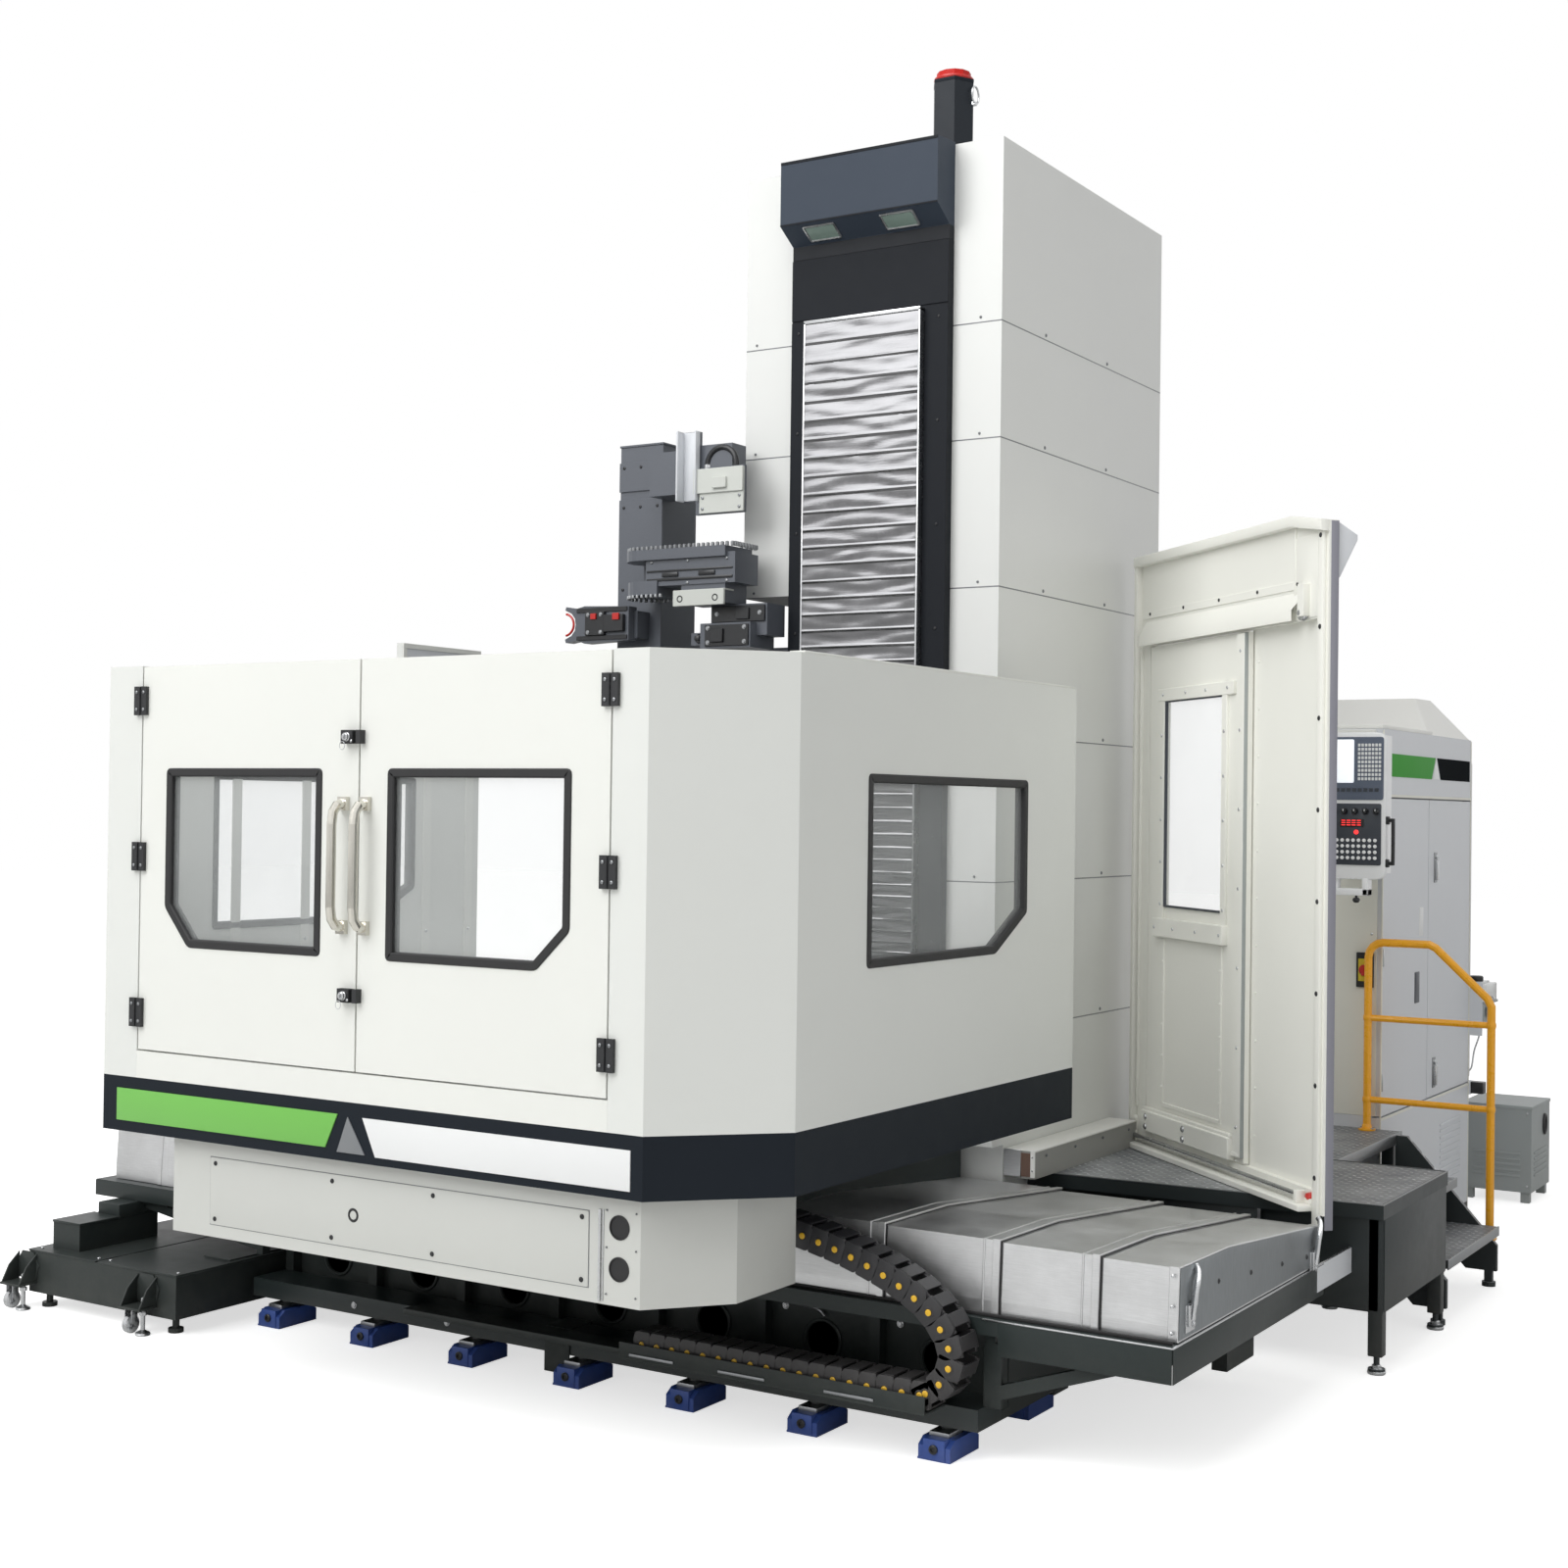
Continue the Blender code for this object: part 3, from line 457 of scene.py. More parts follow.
# how the names of each finish's nodes start; the longest fitting start counts
starts = {
    "glass": "window guard_window", "stainless": "cover_left cover_right", "wayCover": "way_cover",
    "handle": "door_handle", "footRail": "foot_rail",
    "casting": "bed_casting cover_tray column_bed saddle headstock coolant_tank pump_box",
    "iron": "rotary_table", "chain": "drag_chain", "black": "enclosure_base", "frameBlack": "column_front_frame",
    "headBlack": "head_box", "postBlack": "signal_post", "changerGrey": "changer", "tread": "platform stair",
    "yellow": "railing", "grey": "cabinet_door cabinet_body", "cream": "cabinet", "hoodWhite": "cabinet_hood",
    "trafoGrey": "transformer_box", "panelWhite": "lubrication_unit control_panel", "guardCream": "guard",
    "doorWhite": "door_left door_right", "wallWhite": "enclosure_wall", "beamSide": "rail_cover",
    "apronWhite": "apron", "columnWhite": "column_body",
}
nodeFinish = {start: finish for finish, names in starts.items() for start in names.split()}
for name, node in nodes.items():
    key = max((k for k in nodeFinish if name.startswith(k)), key=len, default=None)
    node.data.materials.clear()
    node.data.materials.append(finishes[nodeFinish[key] if key else "white"])
print("finishes on the frame's nodes")


# shapes worked out as whole arrays, all in millimetres from here on

metres = 0.001


def add(name, finish, shape, body="machine", place=None, soften=32):
    # one piece out of point and face arrays, turned outwards, with its edges sharp above soften degrees
    points, faces = shape
    points = points if place is None else place(points)
    mesh = bpy.data.meshes.new(name)
    mesh.from_pydata((points * metres).tolist(), [], faces)
    work = bmesh.new()
    work.from_mesh(mesh)
    bmesh.ops.recalc_face_normals(work, faces=work.faces)
    work.to_mesh(mesh)
    work.free()
    mesh.shade_smooth()
    mesh.set_sharp_from_angle(angle=math.radians(soften))
    mesh.materials.append(finishes[finish])
    piece = bpy.data.objects.new(name, mesh)
    bpy.context.scene.collection.objects.link(piece)
    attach(piece, body)
    return piece


def skinned(stacks, ringed=False):
    # stacks holds copies of sections of points; each section is a closed loop, and neighbours are joined by quads;
    # the ends are capped unless the sections run in a ring
    k, n, m, _ = stacks.shape
    index = np.arange(k * n * m).reshape(k, n, m)
    near = index if ringed else index[:, :-1]
    far = np.roll(index, -1, axis=1) if ringed else index[:, 1:]
    quads = np.stack([near, np.roll(near, -1, axis=2), np.roll(far, -1, axis=2), far], axis=-1).reshape(-1, 4).tolist()
    caps = [] if ringed else index[:, 0, ::-1].tolist() + index[:, -1].tolist()
    return stacks.reshape(-1, 3), quads + caps


def joined(*shapes):
    # several point and face pairs as one
    points, faces, first = [], [], 0
    for p, f in shapes:
        points.append(p)
        faces += [[i + first for i in face] for face in f] if first else f
        first += len(p)
    return np.concatenate(points), faces


def slabs(rows, soft=2, axis=2):
    # boxes x0, x1, y0, y1, z0, z1: a rectangle with rounded corners is carried along one axis, and its rim shrinks by
    # a quarter circle at both ends
    rows = np.array(rows, float).reshape(-1, 6)
    low, high = rows[:, 0::2], rows[:, 1::2]
    mid, half = (low + high) / 2, abs(high - low) / 2
    a, b = [i for i in (0, 1, 2) if i != axis]
    r = np.minimum(soft, 0.45 * half.min(axis=1))[:, None, None]
    turn = np.radians([0, 45, 90, 90, 135, 180, 180, 225, 270, 270, 315, 360])[None, None, :]
    sx = np.repeat([1, -1, -1, 1], 3)[None, None, :]
    sy = np.repeat([1, 1, -1, -1], 3)[None, None, :]
    t = np.radians([18, 50, 90, 90, 50, 18])[None, :, None]
    side = np.array([-1, -1, -1, 1, 1, 1])[None, :, None]
    stacks = np.empty((len(rows), 6, 12, 3))
    stacks[..., a] = mid[:, a, None, None] + sx * (half[:, a, None, None] - r) + r * np.sin(t) * np.cos(turn)
    stacks[..., b] = mid[:, b, None, None] + sy * (half[:, b, None, None] - r) + r * np.sin(t) * np.sin(turn)
    stacks[..., axis] = mid[:, axis, None, None] + side * (half[:, axis, None, None] - r + r * np.cos(t)) + 0 * sx
    return skinned(stacks)


def turnedParts(centres, profile, axis=1, sides=14, way=-1):
    # a radius and height profile carried round an axis through each centre
    centres = np.array(centres, float).reshape(-1, 3)
    profile = np.array(profile, float)
    angle = 2 * np.pi * np.arange(sides) / sides
    a, b = [i for i in (0, 1, 2) if i != axis]
    stacks = np.empty((len(centres), len(profile), sides, 3))
    stacks[..., a] = centres[:, a, None, None] + profile[None, :, 0, None] * np.cos(angle)
    stacks[..., b] = centres[:, b, None, None] + profile[None, :, 0, None] * np.sin(angle)
    stacks[..., axis] = centres[:, axis, None, None] + way * profile[None, :, 1, None]
    return skinned(stacks)


def upright(centres, profile, sides):
    return turnedParts(centres, profile, 2, sides, 1)


def bentBar(path, radius, sides=12, squeeze=1.0, ringed=False):
    # a round or oval section carried along a path; each section stands square to the path, on two directions taken
    # from a fixed third one
    path = np.array(path, float)
    step = np.roll(path, -1, axis=0) - np.roll(path, 1, axis=0) if ringed else np.gradient(path, axis=0)
    step /= np.linalg.norm(step, axis=1)[:, None]
    third = np.eye(3)[np.argmin(np.abs(step).max(axis=0))]
    one = np.cross(step, third)
    one /= np.linalg.norm(one, axis=1)[:, None]
    two = np.cross(step, one)
    angle = 2 * np.pi * np.arange(sides) / sides
    size = np.broadcast_to(np.array(radius, float), (len(path),))[:, None, None]
    section = one[:, None, :] * np.cos(angle)[None, :, None] + two[:, None, :] * np.sin(angle)[None, :, None] * squeeze
    return skinned((path[:, None, :] + size * section)[None], ringed)


def ringBar(centre, width, height, radius, sides, count):
    # a closed ring of bar that stands square to X round a centre
    angle = np.linspace(0, 2 * np.pi, count, endpoint=False)
    flat = np.stack([np.zeros(count), width * np.cos(angle), height * np.sin(angle)], axis=1)
    return bentBar(np.array(centre) + flat, radius, sides, ringed=True)


def eased(points, count=8):
    # a smooth run through a few points: the cubic whose slope at each point is half the step between its neighbours
    p = np.array(points, float)
    slope = np.gradient(p, axis=0)
    t = np.linspace(0, 1, count, endpoint=False)[None, :, None]
    a, b, sa, sb = p[:-1, None], p[1:, None], slope[:-1, None], slope[1:, None]
    run = (2 * t**3 - 3 * t**2 + 1) * a + (t**3 - 2 * t**2 + t) * sa + (3 * t**2 - 2 * t**3) * b + (t**3 - t**2) * sb
    return np.concatenate([run.reshape(-1, p.shape[1]), p[-1:]])


def rounded(outline, radius, count=4):
    # each corner becomes the parabola between two points that lie radius away from it on its two sides
    p = np.array(outline, float)
    back, on = np.roll(p, 1, axis=0) - p, np.roll(p, -1, axis=0) - p
    reach = radius / np.linalg.norm(np.stack([back, on]), axis=2)[..., None]
    first, last = p + back * np.minimum(reach[0], 0.45), p + on * np.minimum(reach[1], 0.45)
    t = np.linspace(0, 1, count)[None, :, None]
    return ((1 - t) ** 2 * first[:, None] + 2 * t * (1 - t) * p[:, None] + t**2 * last[:, None]).reshape(-1, 2)


def inset(outline, by):
    # every corner moves inwards along the bisector of its sides, so that the sides move by this much
    p = np.array(outline, float)
    on = np.roll(p, -1, axis=0) - p
    on /= np.linalg.norm(on, axis=1)[:, None]
    area = np.sum(p[:, 0] * np.roll(p[:, 1], -1) - np.roll(p[:, 0], -1) * p[:, 1])
    normal = np.stack([-on[:, 1], on[:, 0]], axis=1) * np.sign(area)
    before = np.roll(normal, 1, axis=0)
    mitre = (normal + before) / (1 + np.sum(normal * before, axis=1))[:, None]
    return p[None] + np.atleast_1d(by)[:, None, None] * mitre[None]


def laid(flat, depth, plane):
    # a drawing of two coordinates set at a depth along the axis that plane names
    order = {"x": (1, 2, 0), "y": (0, 2, 1), "z": (0, 1, 2)}[plane]
    points = np.empty((*flat.shape[:-1], 3))
    points[..., order[0]], points[..., order[1]] = flat[..., 0], flat[..., 1]
    points[..., order[2]] = depth
    return points


def corners(a0, a1, b0, b1):
    return [(a0, b0), (a1, b0), (a1, b1), (a0, b1)]


def plate(outline, start, end, plane="y", soft=1.5):
    # an outline carried from one depth to another, its rim drawn in a little at both ends
    by = np.array([soft, 0.3 * soft, 0, 0, 0.3 * soft, soft])
    way = np.sign(end - start)
    depth = np.array([
        start, start + way * 0.3 * soft, start + way * soft, end - way * soft, end - way * 0.3 * soft, end
    ])
    return skinned(laid(inset(outline, by), depth[:, None], plane)[None])


def edging(outline, section, plane):
    # a closed section of inset and depth carried round a closed outline
    section = np.array(section, float)
    around = inset(outline, section[:, 0])
    return skinned(laid(around, section[:, 1][:, None], plane).transpose(1, 0, 2)[None], ringed=True)


def screwHeads(centres, size=6, axis=1, way=-1):
    # button heads: a low dome with a small dip
    return turnedParts(centres, [
        (size * 0.98, -1), (size, 1.2), (size * 0.86, 2.6), (size * 0.5, 3.4), (size * 0.42, 2), (size * 0.1, 1.8)
    ], axis, 10, way)


def hexBolts(centres, size=12, axis=1, way=-1, tall=0.7):
    head = turnedParts(centres, [
        (size, 0), (size, size * tall * 0.85), (size * 0.86, size * tall), (size * 0.2, size * tall)
    ], axis, 6, way)
    washer = turnedParts(centres, [
        (size * 1.35, -1), (size * 1.35, 1.8), (size * 1.25, 2.5), (size * 0.9, 2.5)
    ], axis, 16, way)
    return joined(head, washer)


# enclosure: gaskets, hinges, locks, the skirt's bands and the apron's cover

enclosureSet = {
    "frontY": -760, "sheet": 30, "sideX": (-1631, 1055),
    "windows": {
        "left": [(-1071, 1473), (-969, 1354), (-416, 1354), (-416, 1898), (-1071, 1898)],
        "right": [(-148, 1354), (398, 1354), (511, 1463), (511, 1898), (-148, 1898)],
        "side": [(-83, 1355), (727, 1355), (948, 1475), (948, 1900), (-83, 1900)],
    },
    "hingeZ": (1138, 1626, 2114), "lockZ": (1243, 1994), "pivotX": (-1191, 648), "seamX": -264,
    "green": [(-1279, 794), (-376, 794), (-328, 895), (-1279, 895)],
    "triangle": [(-329, 785), (-219, 785), (-288, 890)],
    "bare": [(-178, 783), (730, 783), (730, 892), (-230, 892)],
    "cover": (-906, 557, 500, 706), "apronY": -710,
}


def gasketSection(near, far):
    # a channel of rubber: it laps over both faces of the sheet and holds the pane
    return [
        (-5, near - 1.2), (-2, near - 4.2), (17, near - 4.2), (21, near - 1), (21, far + 1), (17, far + 4.2),
        (-2, far + 4.2), (-5, far + 1.2)
    ]


def makeEnclosure(s):
    y, x0, x1 = s["frontY"], *s["sideX"]
    for side in ("left", "right"):
        outline = rounded(s["windows"][side], 12)
        add(f"door_gasket_{side}", "rubber", edging(outline, gasketSection(y, y + s["sheet"]), "y"), f"door_{side}")
        outline = rounded(s["windows"]["side"], 12)
        near = x1 if side == "right" else x0
        far = near - s["sheet"] if side == "right" else near + s["sheet"]
        low, high = min(near, far), max(near, far)
        add(f"side_gasket_{side}", "rubber", edging(outline, gasketSection(low, high), "x"))
    pins = [(x, y - 15, z - 43) for x in s["pivotX"] for z in s["hingeZ"]]
    add("hinge_pins", "blackPlastic", upright(pins, [(1.4, 0), (2.6, 1), (2.6, 85), (1.4, 86)], 10))
    for side, pivot, way in (("left", s["pivotX"][0], 1), ("right", s["pivotX"][1], -1)):
        leaf = [(pivot + way * 15.5, y - 12.8, z + dz) for z in s["hingeZ"] for dz in (-27, 27)]
        post = [(pivot - way * 15.5, y - 12.8, z + dz) for z in s["hingeZ"] for dz in (-27, 27)]
        add(f"hinge_screws_leaf_{side}", "rawSteel", screwHeads(leaf, 5.5), f"door_{side}")
        add(f"hinge_screws_post_{side}", "rawSteel", screwHeads(post, 5.5))
    barrels = [(s["seamX"] - 29, y - 23.5, z) for z in s["lockZ"]]
    lock = joined(
        turnedParts(barrels, [(13.5, -1), (13.5, 4), (11.5, 6.5), (11.5, 11), (9.5, 12.5), (3, 12.5)], sides=20),
        slabs([(x - 1.5, x + 1.5, y - 40.5, y - 34, z - 6, z + 6) for x, _, z in barrels], 0.6),
        turnedParts([(x + 18, y - 23.5, z - 12) for x, _, z in barrels], [(4, -1), (4, 3), (2, 4)], sides=10),
    )
    add("lock_barrels", "chrome", lock, "door_left")
    turn = np.linspace(0, 2 * np.pi, 25, endpoint=False)
    loop = np.stack([10 * np.cos(turn) - 6, np.full(25, -13.5), 12 * np.sin(turn) - 26], axis=1)
    keys = [bentBar(np.array(barrel) + loop, 1.1, 6, ringed=True) for barrel in barrels]
    add("lock_rings", "chrome", joined(*keys), "door_left")
    bodies = slabs([
        (s["seamX"] - 52.5, s["seamX"] - 7.5, y - 25.5, y - 23.5, z - 18.5, z + 18.5) for z in s["lockZ"]
    ], 1.5, axis=1)
    add("lock_covers", "blackPlastic", bodies, "door_left")
    print("enclosure trim made")
    # the three plates on the skirt, each a little proud of it
    for name, key, finish in (
        ("skirt_band", "green", "green"), ("skirt_triangle", "triangle", "bandGrey"),
        ("skirt_plate", "bare", "bandWhite")
    ):
        add(name, finish, plate(s[key], y - 3.5, y + 2, "y", 1))
    a0, a1, c0, c1 = s["cover"]
    ya = s["apronY"]
    add("apron_cover", "apronWhite", plate(rounded(corners(a0, a1, c0, c1), 6), ya - 2.8, ya + 1, "y", 1.2))
    add("apron_cover_shadow", "bandGrey", edging(corners(a0, a1, c0, c1), corners(-2.2, 0, ya - 0.6, ya + 1), "y"))
    spots = [
        (a0 + 22, c1 - 18), (-393, c1 - 20), (-0, c1 - 20), (a1 - 22, c1 - 18), (a0 + 22, c0 + 18), (-393, c0 + 20),
        (-0, c0 + 20), (a1 - 22, c0 + 18)
    ]
    add("apron_screws", "blackPlastic", screwHeads([(x, ya - 2.5, z) for x, z in spots], 7.5))
    port = turnedParts([(-307, ya, 595)], [(21, -1), (21, 3), (19, 4.5), (14, 4.5), (12, 1.5), (3, 1)], sides=24)
    add("apron_port", "rubber", port)
    rims = turnedParts(
        [(660, ya, z) for z in (672, 560)], [(33.5, 0), (33.5, 2), (31.5, 3), (30, 2.8), (30, -18)], sides=32
    )
    hole = turnedParts([(660, ya + 12, z) for z in (672, 560)], [(31.5, -2), (31.5, 0), (2, 1)], sides=32)
    add("apron_glands", "rubber", joined(rims, hole))
    add("apron_channel", "chrome", slabs([
        (592, 600, ya - 6, ya, 470, 716), (604, 608, ya - 3, ya, 470, 716)
    ], 1, axis=2))
    add("apron_end_screws", "bandGrey", screwHeads([(x, ya - 0.5, z) for x in (618, 716) for z in (490, 615, 715)], 3))
    # inside: upright battens and rows of screws on the walls, and lips along the walls' tops
    battens, screws = [], []
    for yb in (-300, 20, 360, 700, 1020, 1270):
        battens.append((x0 + 29.8, x0 + 34, yb - 22, yb + 22, 940, 2200))
        screws += [(x0 + 33.8, yb, z) for z in (1020, 1180, 1300, 1950, 2050, 2160)]
    right = [(x1 - 34, x1 - 29.8, yb - 22, yb + 22, 940, 2200) for yb in (-300, 1020, 1270)]
    add("inner_battens", "white", slabs(battens + right, 1.5, axis=0))
    add("inner_screws", "chrome", screwHeads(screws, 6.5, axis=0, way=1))
    lips = [(x0, x0 + 50, -440, 860, 2224.2, 2230), (x1 - 50, x1, -440, 1325, 2224.2, 2230)]
    add("wall_top_lips", "white", slabs(lips, 2, axis=2))
    # the rear of the left wall stands higher, framed in white round a grey sheet
    xi = x0 + s["sheet"]
    rise = [
        (xi - 1, xi + 5, 866, 1328, 2412, 2431), (xi - 1, xi + 5, 866, 886, 2236, 2412),
        (xi - 1, xi + 5, 1308, 1328, 2236, 2412)
    ]
    add("wall_rise_frame", "white", slabs(rise, 1.5, axis=0))
    add("wall_rise_sheet", "grey", slabs([(xi - 0.5, xi + 1.5, 884, 1310, 2232, 2414)], 0.5, axis=0))


makeEnclosure(enclosureSet)
print("enclosure made")


# column: the crinkled way cover, seams' screws, the black head box with its lamps, and the beacon

columnSet = {
    "x": (-200, 840), "y": (1157, 2580), "seams": [1000 * z for z in seamHeights], "screwY": (1510, 2050),
    "bracketTop": 2600,
    "cover": {
        "x": (97, 556), "z": (1270, 3530), "y": 1089.3, "slats": 42, "lip": 1.3, "warp": 0.7, "ripple": 0.3,
        "rows": 900, "columns": 72, "seed": 11,
        # each wave: share, waves across, skew down the slat, and how firmly it ends at the slat's edges
        "waves": [(1, 0.9, 2.2, 1), (0.7, 1.7, -1.6, 2), (0.35, 3.6, 3, 0)],
        "across": (1.4, 2.4, 0.8), "bead": (1.4, 0.9, 0.05),
    },
}


def crinkledCover(name, s):
    # a grid of across and up; each slat leans out to a lip at its lower end, and a few slow waves with their own
    # phase for each slat warp it
    u = np.linspace(0, 1, s["columns"])[None, :]
    v = np.linspace(0, 1, s["rows"])[:, None]
    widths = np.linspace(1.5, 0.75, s["slats"])
    ends = np.concatenate([[0], np.cumsum(widths)]) / widths.sum()
    down = 1 - v
    slat = np.clip(np.searchsorted(ends, down[:, 0], side="right") - 1, 0, s["slats"] - 1)
    part = ((down[:, 0] - ends[slat]) / (ends[slat + 1] - ends[slat]))[:, None]
    chance = np.random.default_rng(s["seed"])
    phase = chance.uniform(0, 2 * np.pi, (s["slats"], 5))[slat]
    size = chance.uniform(0.35, 1.0, (s["slats"], 3))[slat]
    warp = 0
    for i, (share, waves, skew, power) in enumerate(s["waves"]):
        wave = np.sin(2 * np.pi * waves * u + phase[:, i:i + 1] + skew * part)
        warp = warp + share * size[:, i:i + 1] * wave * np.sin(np.pi * part) ** power
    folds, swing, turns = s["across"]
    bend = swing * np.sin(2 * np.pi * turns * u + phase[:, 4:5])
    ripple = s["ripple"] * np.cos(2 * np.pi * folds * part + phase[:, 3:4] + bend)
    lean = s["lip"] * part**1.5
    height, spot, spread = s["bead"]
    fold = height * np.exp(-(((part - spot) / spread) ** 2))
    out = lean + fold + ripple + s["warp"] * warp * np.sin(np.pi * u) ** 0.35
    x = s["x"][0] + (s["x"][1] - s["x"][0]) * u + 0 * v
    z = s["z"][0] + (s["z"][1] - s["z"][0]) * v + 0 * u
    front = np.stack([x, s["y"] - 4 - np.maximum(out, -2.5), z], axis=2)
    behind = np.stack([x[:, [-1, 0]], np.full((s["rows"], 2), s["y"] + 1), z[:, [-1, 0]]], axis=2)
    return add(name, "wayCover", skinned(np.concatenate([front, behind], axis=1)[None]), soften=40)


def makeColumn(s):
    crinkledCover("way_cover_sheet", s["cover"])
    x0, x1 = s["x"]
    y0, y1 = s["y"]
    side = [(x1, y, z + 16) for y in s["screwY"] for z in s["seams"]]
    add("column_screws_right", "bandGrey", screwHeads(side, 6.5, axis=0, way=1))
    front = [(x, y0, z + 18) for x in (-155, 760) for z in s["seams"]]
    add("column_screws_front", "bandGrey", screwHeads(front, 5))
    # painted shade of the grooves where the column's panels meet: thin dark strips round its four sides that look
    # recessed
    grooves = []
    right, front = (x1 - 1, x1 + 0.6, y0 + 1, y1 - 1), (656, x1 - 1, y0 - 0.6, y0 + 1)
    leftFront, left = (x0 + 1, 12, y0 - 0.6, y0 + 1), (x0 - 0.6, x0 + 1, y0 + 1, y1 - 1)
    leftRear, back = (x0 - 0.6, x0 + 1, y0 + 560, y1 - 1), (x0 + 1, x1 - 1, y1 - 1, y1 + 0.6)
    for z in s["seams"]:
        # the changer's bracket covers the front of the lower seams on the left
        leftOnes = (leftFront, left) if z > s["bracketTop"] else (leftRear,)
        grooves += [(*around, z - 2, z + 2) for around in (right, front, *leftOnes, back)]
    add("column_groove_shade", "bandGrey", slabs(grooves, 0.3))
    # the frame's fillet strips and the plate over the cover
    yf = y0 - 37
    trims = [
        (20, 90, yf - 4, yf + 1, 700, 3550), (563, 654, yf - 4, yf + 1, 700, 3550),
        (20, 654, yf - 4, yf + 1, 3556, 3774)
    ]
    add("column_frame_plates", "frameBlack", slabs(trims, 1.5, axis=1))
    add("column_frame_screws", "blackPlastic", screwHeads([
        (x, yf - 3.5, z) for x in (50, 618) for z in np.arange(1350, 3550, 360)
    ], 5.5))
    edges = [
        (90, 96.5, yf - 36.5, yf - 0.5, 1256, 3540), (556.5, 563, yf - 36.5, yf - 0.5, 1256, 3540),
        (90, 563, yf - 36.5, yf - 0.5, 3532.5, 3545)
    ]
    add("way_cover_guides", "chrome", slabs(edges, 1, axis=2))
    # two work lamps in the slanted underside of the head box, which runs from (1030, 3880) back to (1120, 3825)
    slope = math.atan2(55, 90)

    def underside(points):
        # a flat drawing of x, way back along the slope and depth below it
        q = points.copy()
        q[:, 1] = 1030 + points[:, 1] * math.cos(slope) - points[:, 2] * math.sin(slope)
        q[:, 2] = 3880 - points[:, 1] * math.sin(slope) - points[:, 2] * math.cos(slope)
        return q

    for name, a, b in (("left", 106, 232), ("right", 418, 548)):
        outline = rounded(corners(a, b, 18, 88), 6)
        add(
            f"lamp_frame_{name}", "chrome", edging(outline, [(-3, -1), (-3, 3), (2, 5), (6, 3), (6, -1)], "z"),
            place=underside
        )
        add(f"lamp_lens_{name}", "lens", plate(inset(outline, 4)[0], -1, 2.2, "z", 0.6), place=underside)
    lip = [(20, 654, 1028.6, 1030.5, 4098, 4108.5), (20, 654, 1028.6, 1030.5, 3879, 3885)]
    add("head_box_lips", "frameBlack", slabs(lip, 0.6, axis=1))
    # beacon: a hexagonal black post with a red cap and a ring on its right face
    cx, cy = 586, 1268
    collar = upright([(cx, cy, 4118)], [(84, -5), (86, 3), (84, 8), (77, 10), (75, 2)], 6)
    add("beacon_collar", "black", collar)
    lipRing = upright([(cx, cy, 4358)], [(78.5, -2), (79.5, 2), (79.5, 10), (76, 12.5), (20, 13)], 6)
    add("beacon_top", "black", lipRing)
    cap = upright([(cx, cy, 4370)], [
        (68, 0), (70, 4), (69, 10), (62, 14), (40, 18), (32, 21), (28, 30), (18, 34), (3, 35)
    ], 28)
    add("beacon_cap", "redPlastic", cap)
    add("beacon_ring", "chrome", ringBar((cx + 84, cy + 4, 4312), 26, 30, 3.5, 8, 32))
    add("beacon_ring_lug", "chrome", slabs([(cx + 66, cx + 88, cy - 6, cy + 12, 4276, 4290)], 2))
    # the foot bolts of the column's bed
    feet = [(x, y, 120) for x in (-190, 830) for y in np.arange(1420, 3000, 360)]
    add("column_bed_bolts", "rawSteel", hexBolts(feet, 16, axis=2, way=1, tall=0.8))


makeColumn(columnSet)
print("column made")


# drag chain: every link is a side plate pair with a cross bar, set along the chain's middle line

chainSet = {
    "middle": [
        (700, 618), (840, 596), (1000, 560), (1125, 520), (1220, 478), (1300, 425), (1353, 360), (1368, 300),
        (1345, 243), (1295, 205), (1220, 193.5), (300, 193.5)
    ],
    "pitch": 55.5, "half": 40.5, "y": (-150, -50),
}


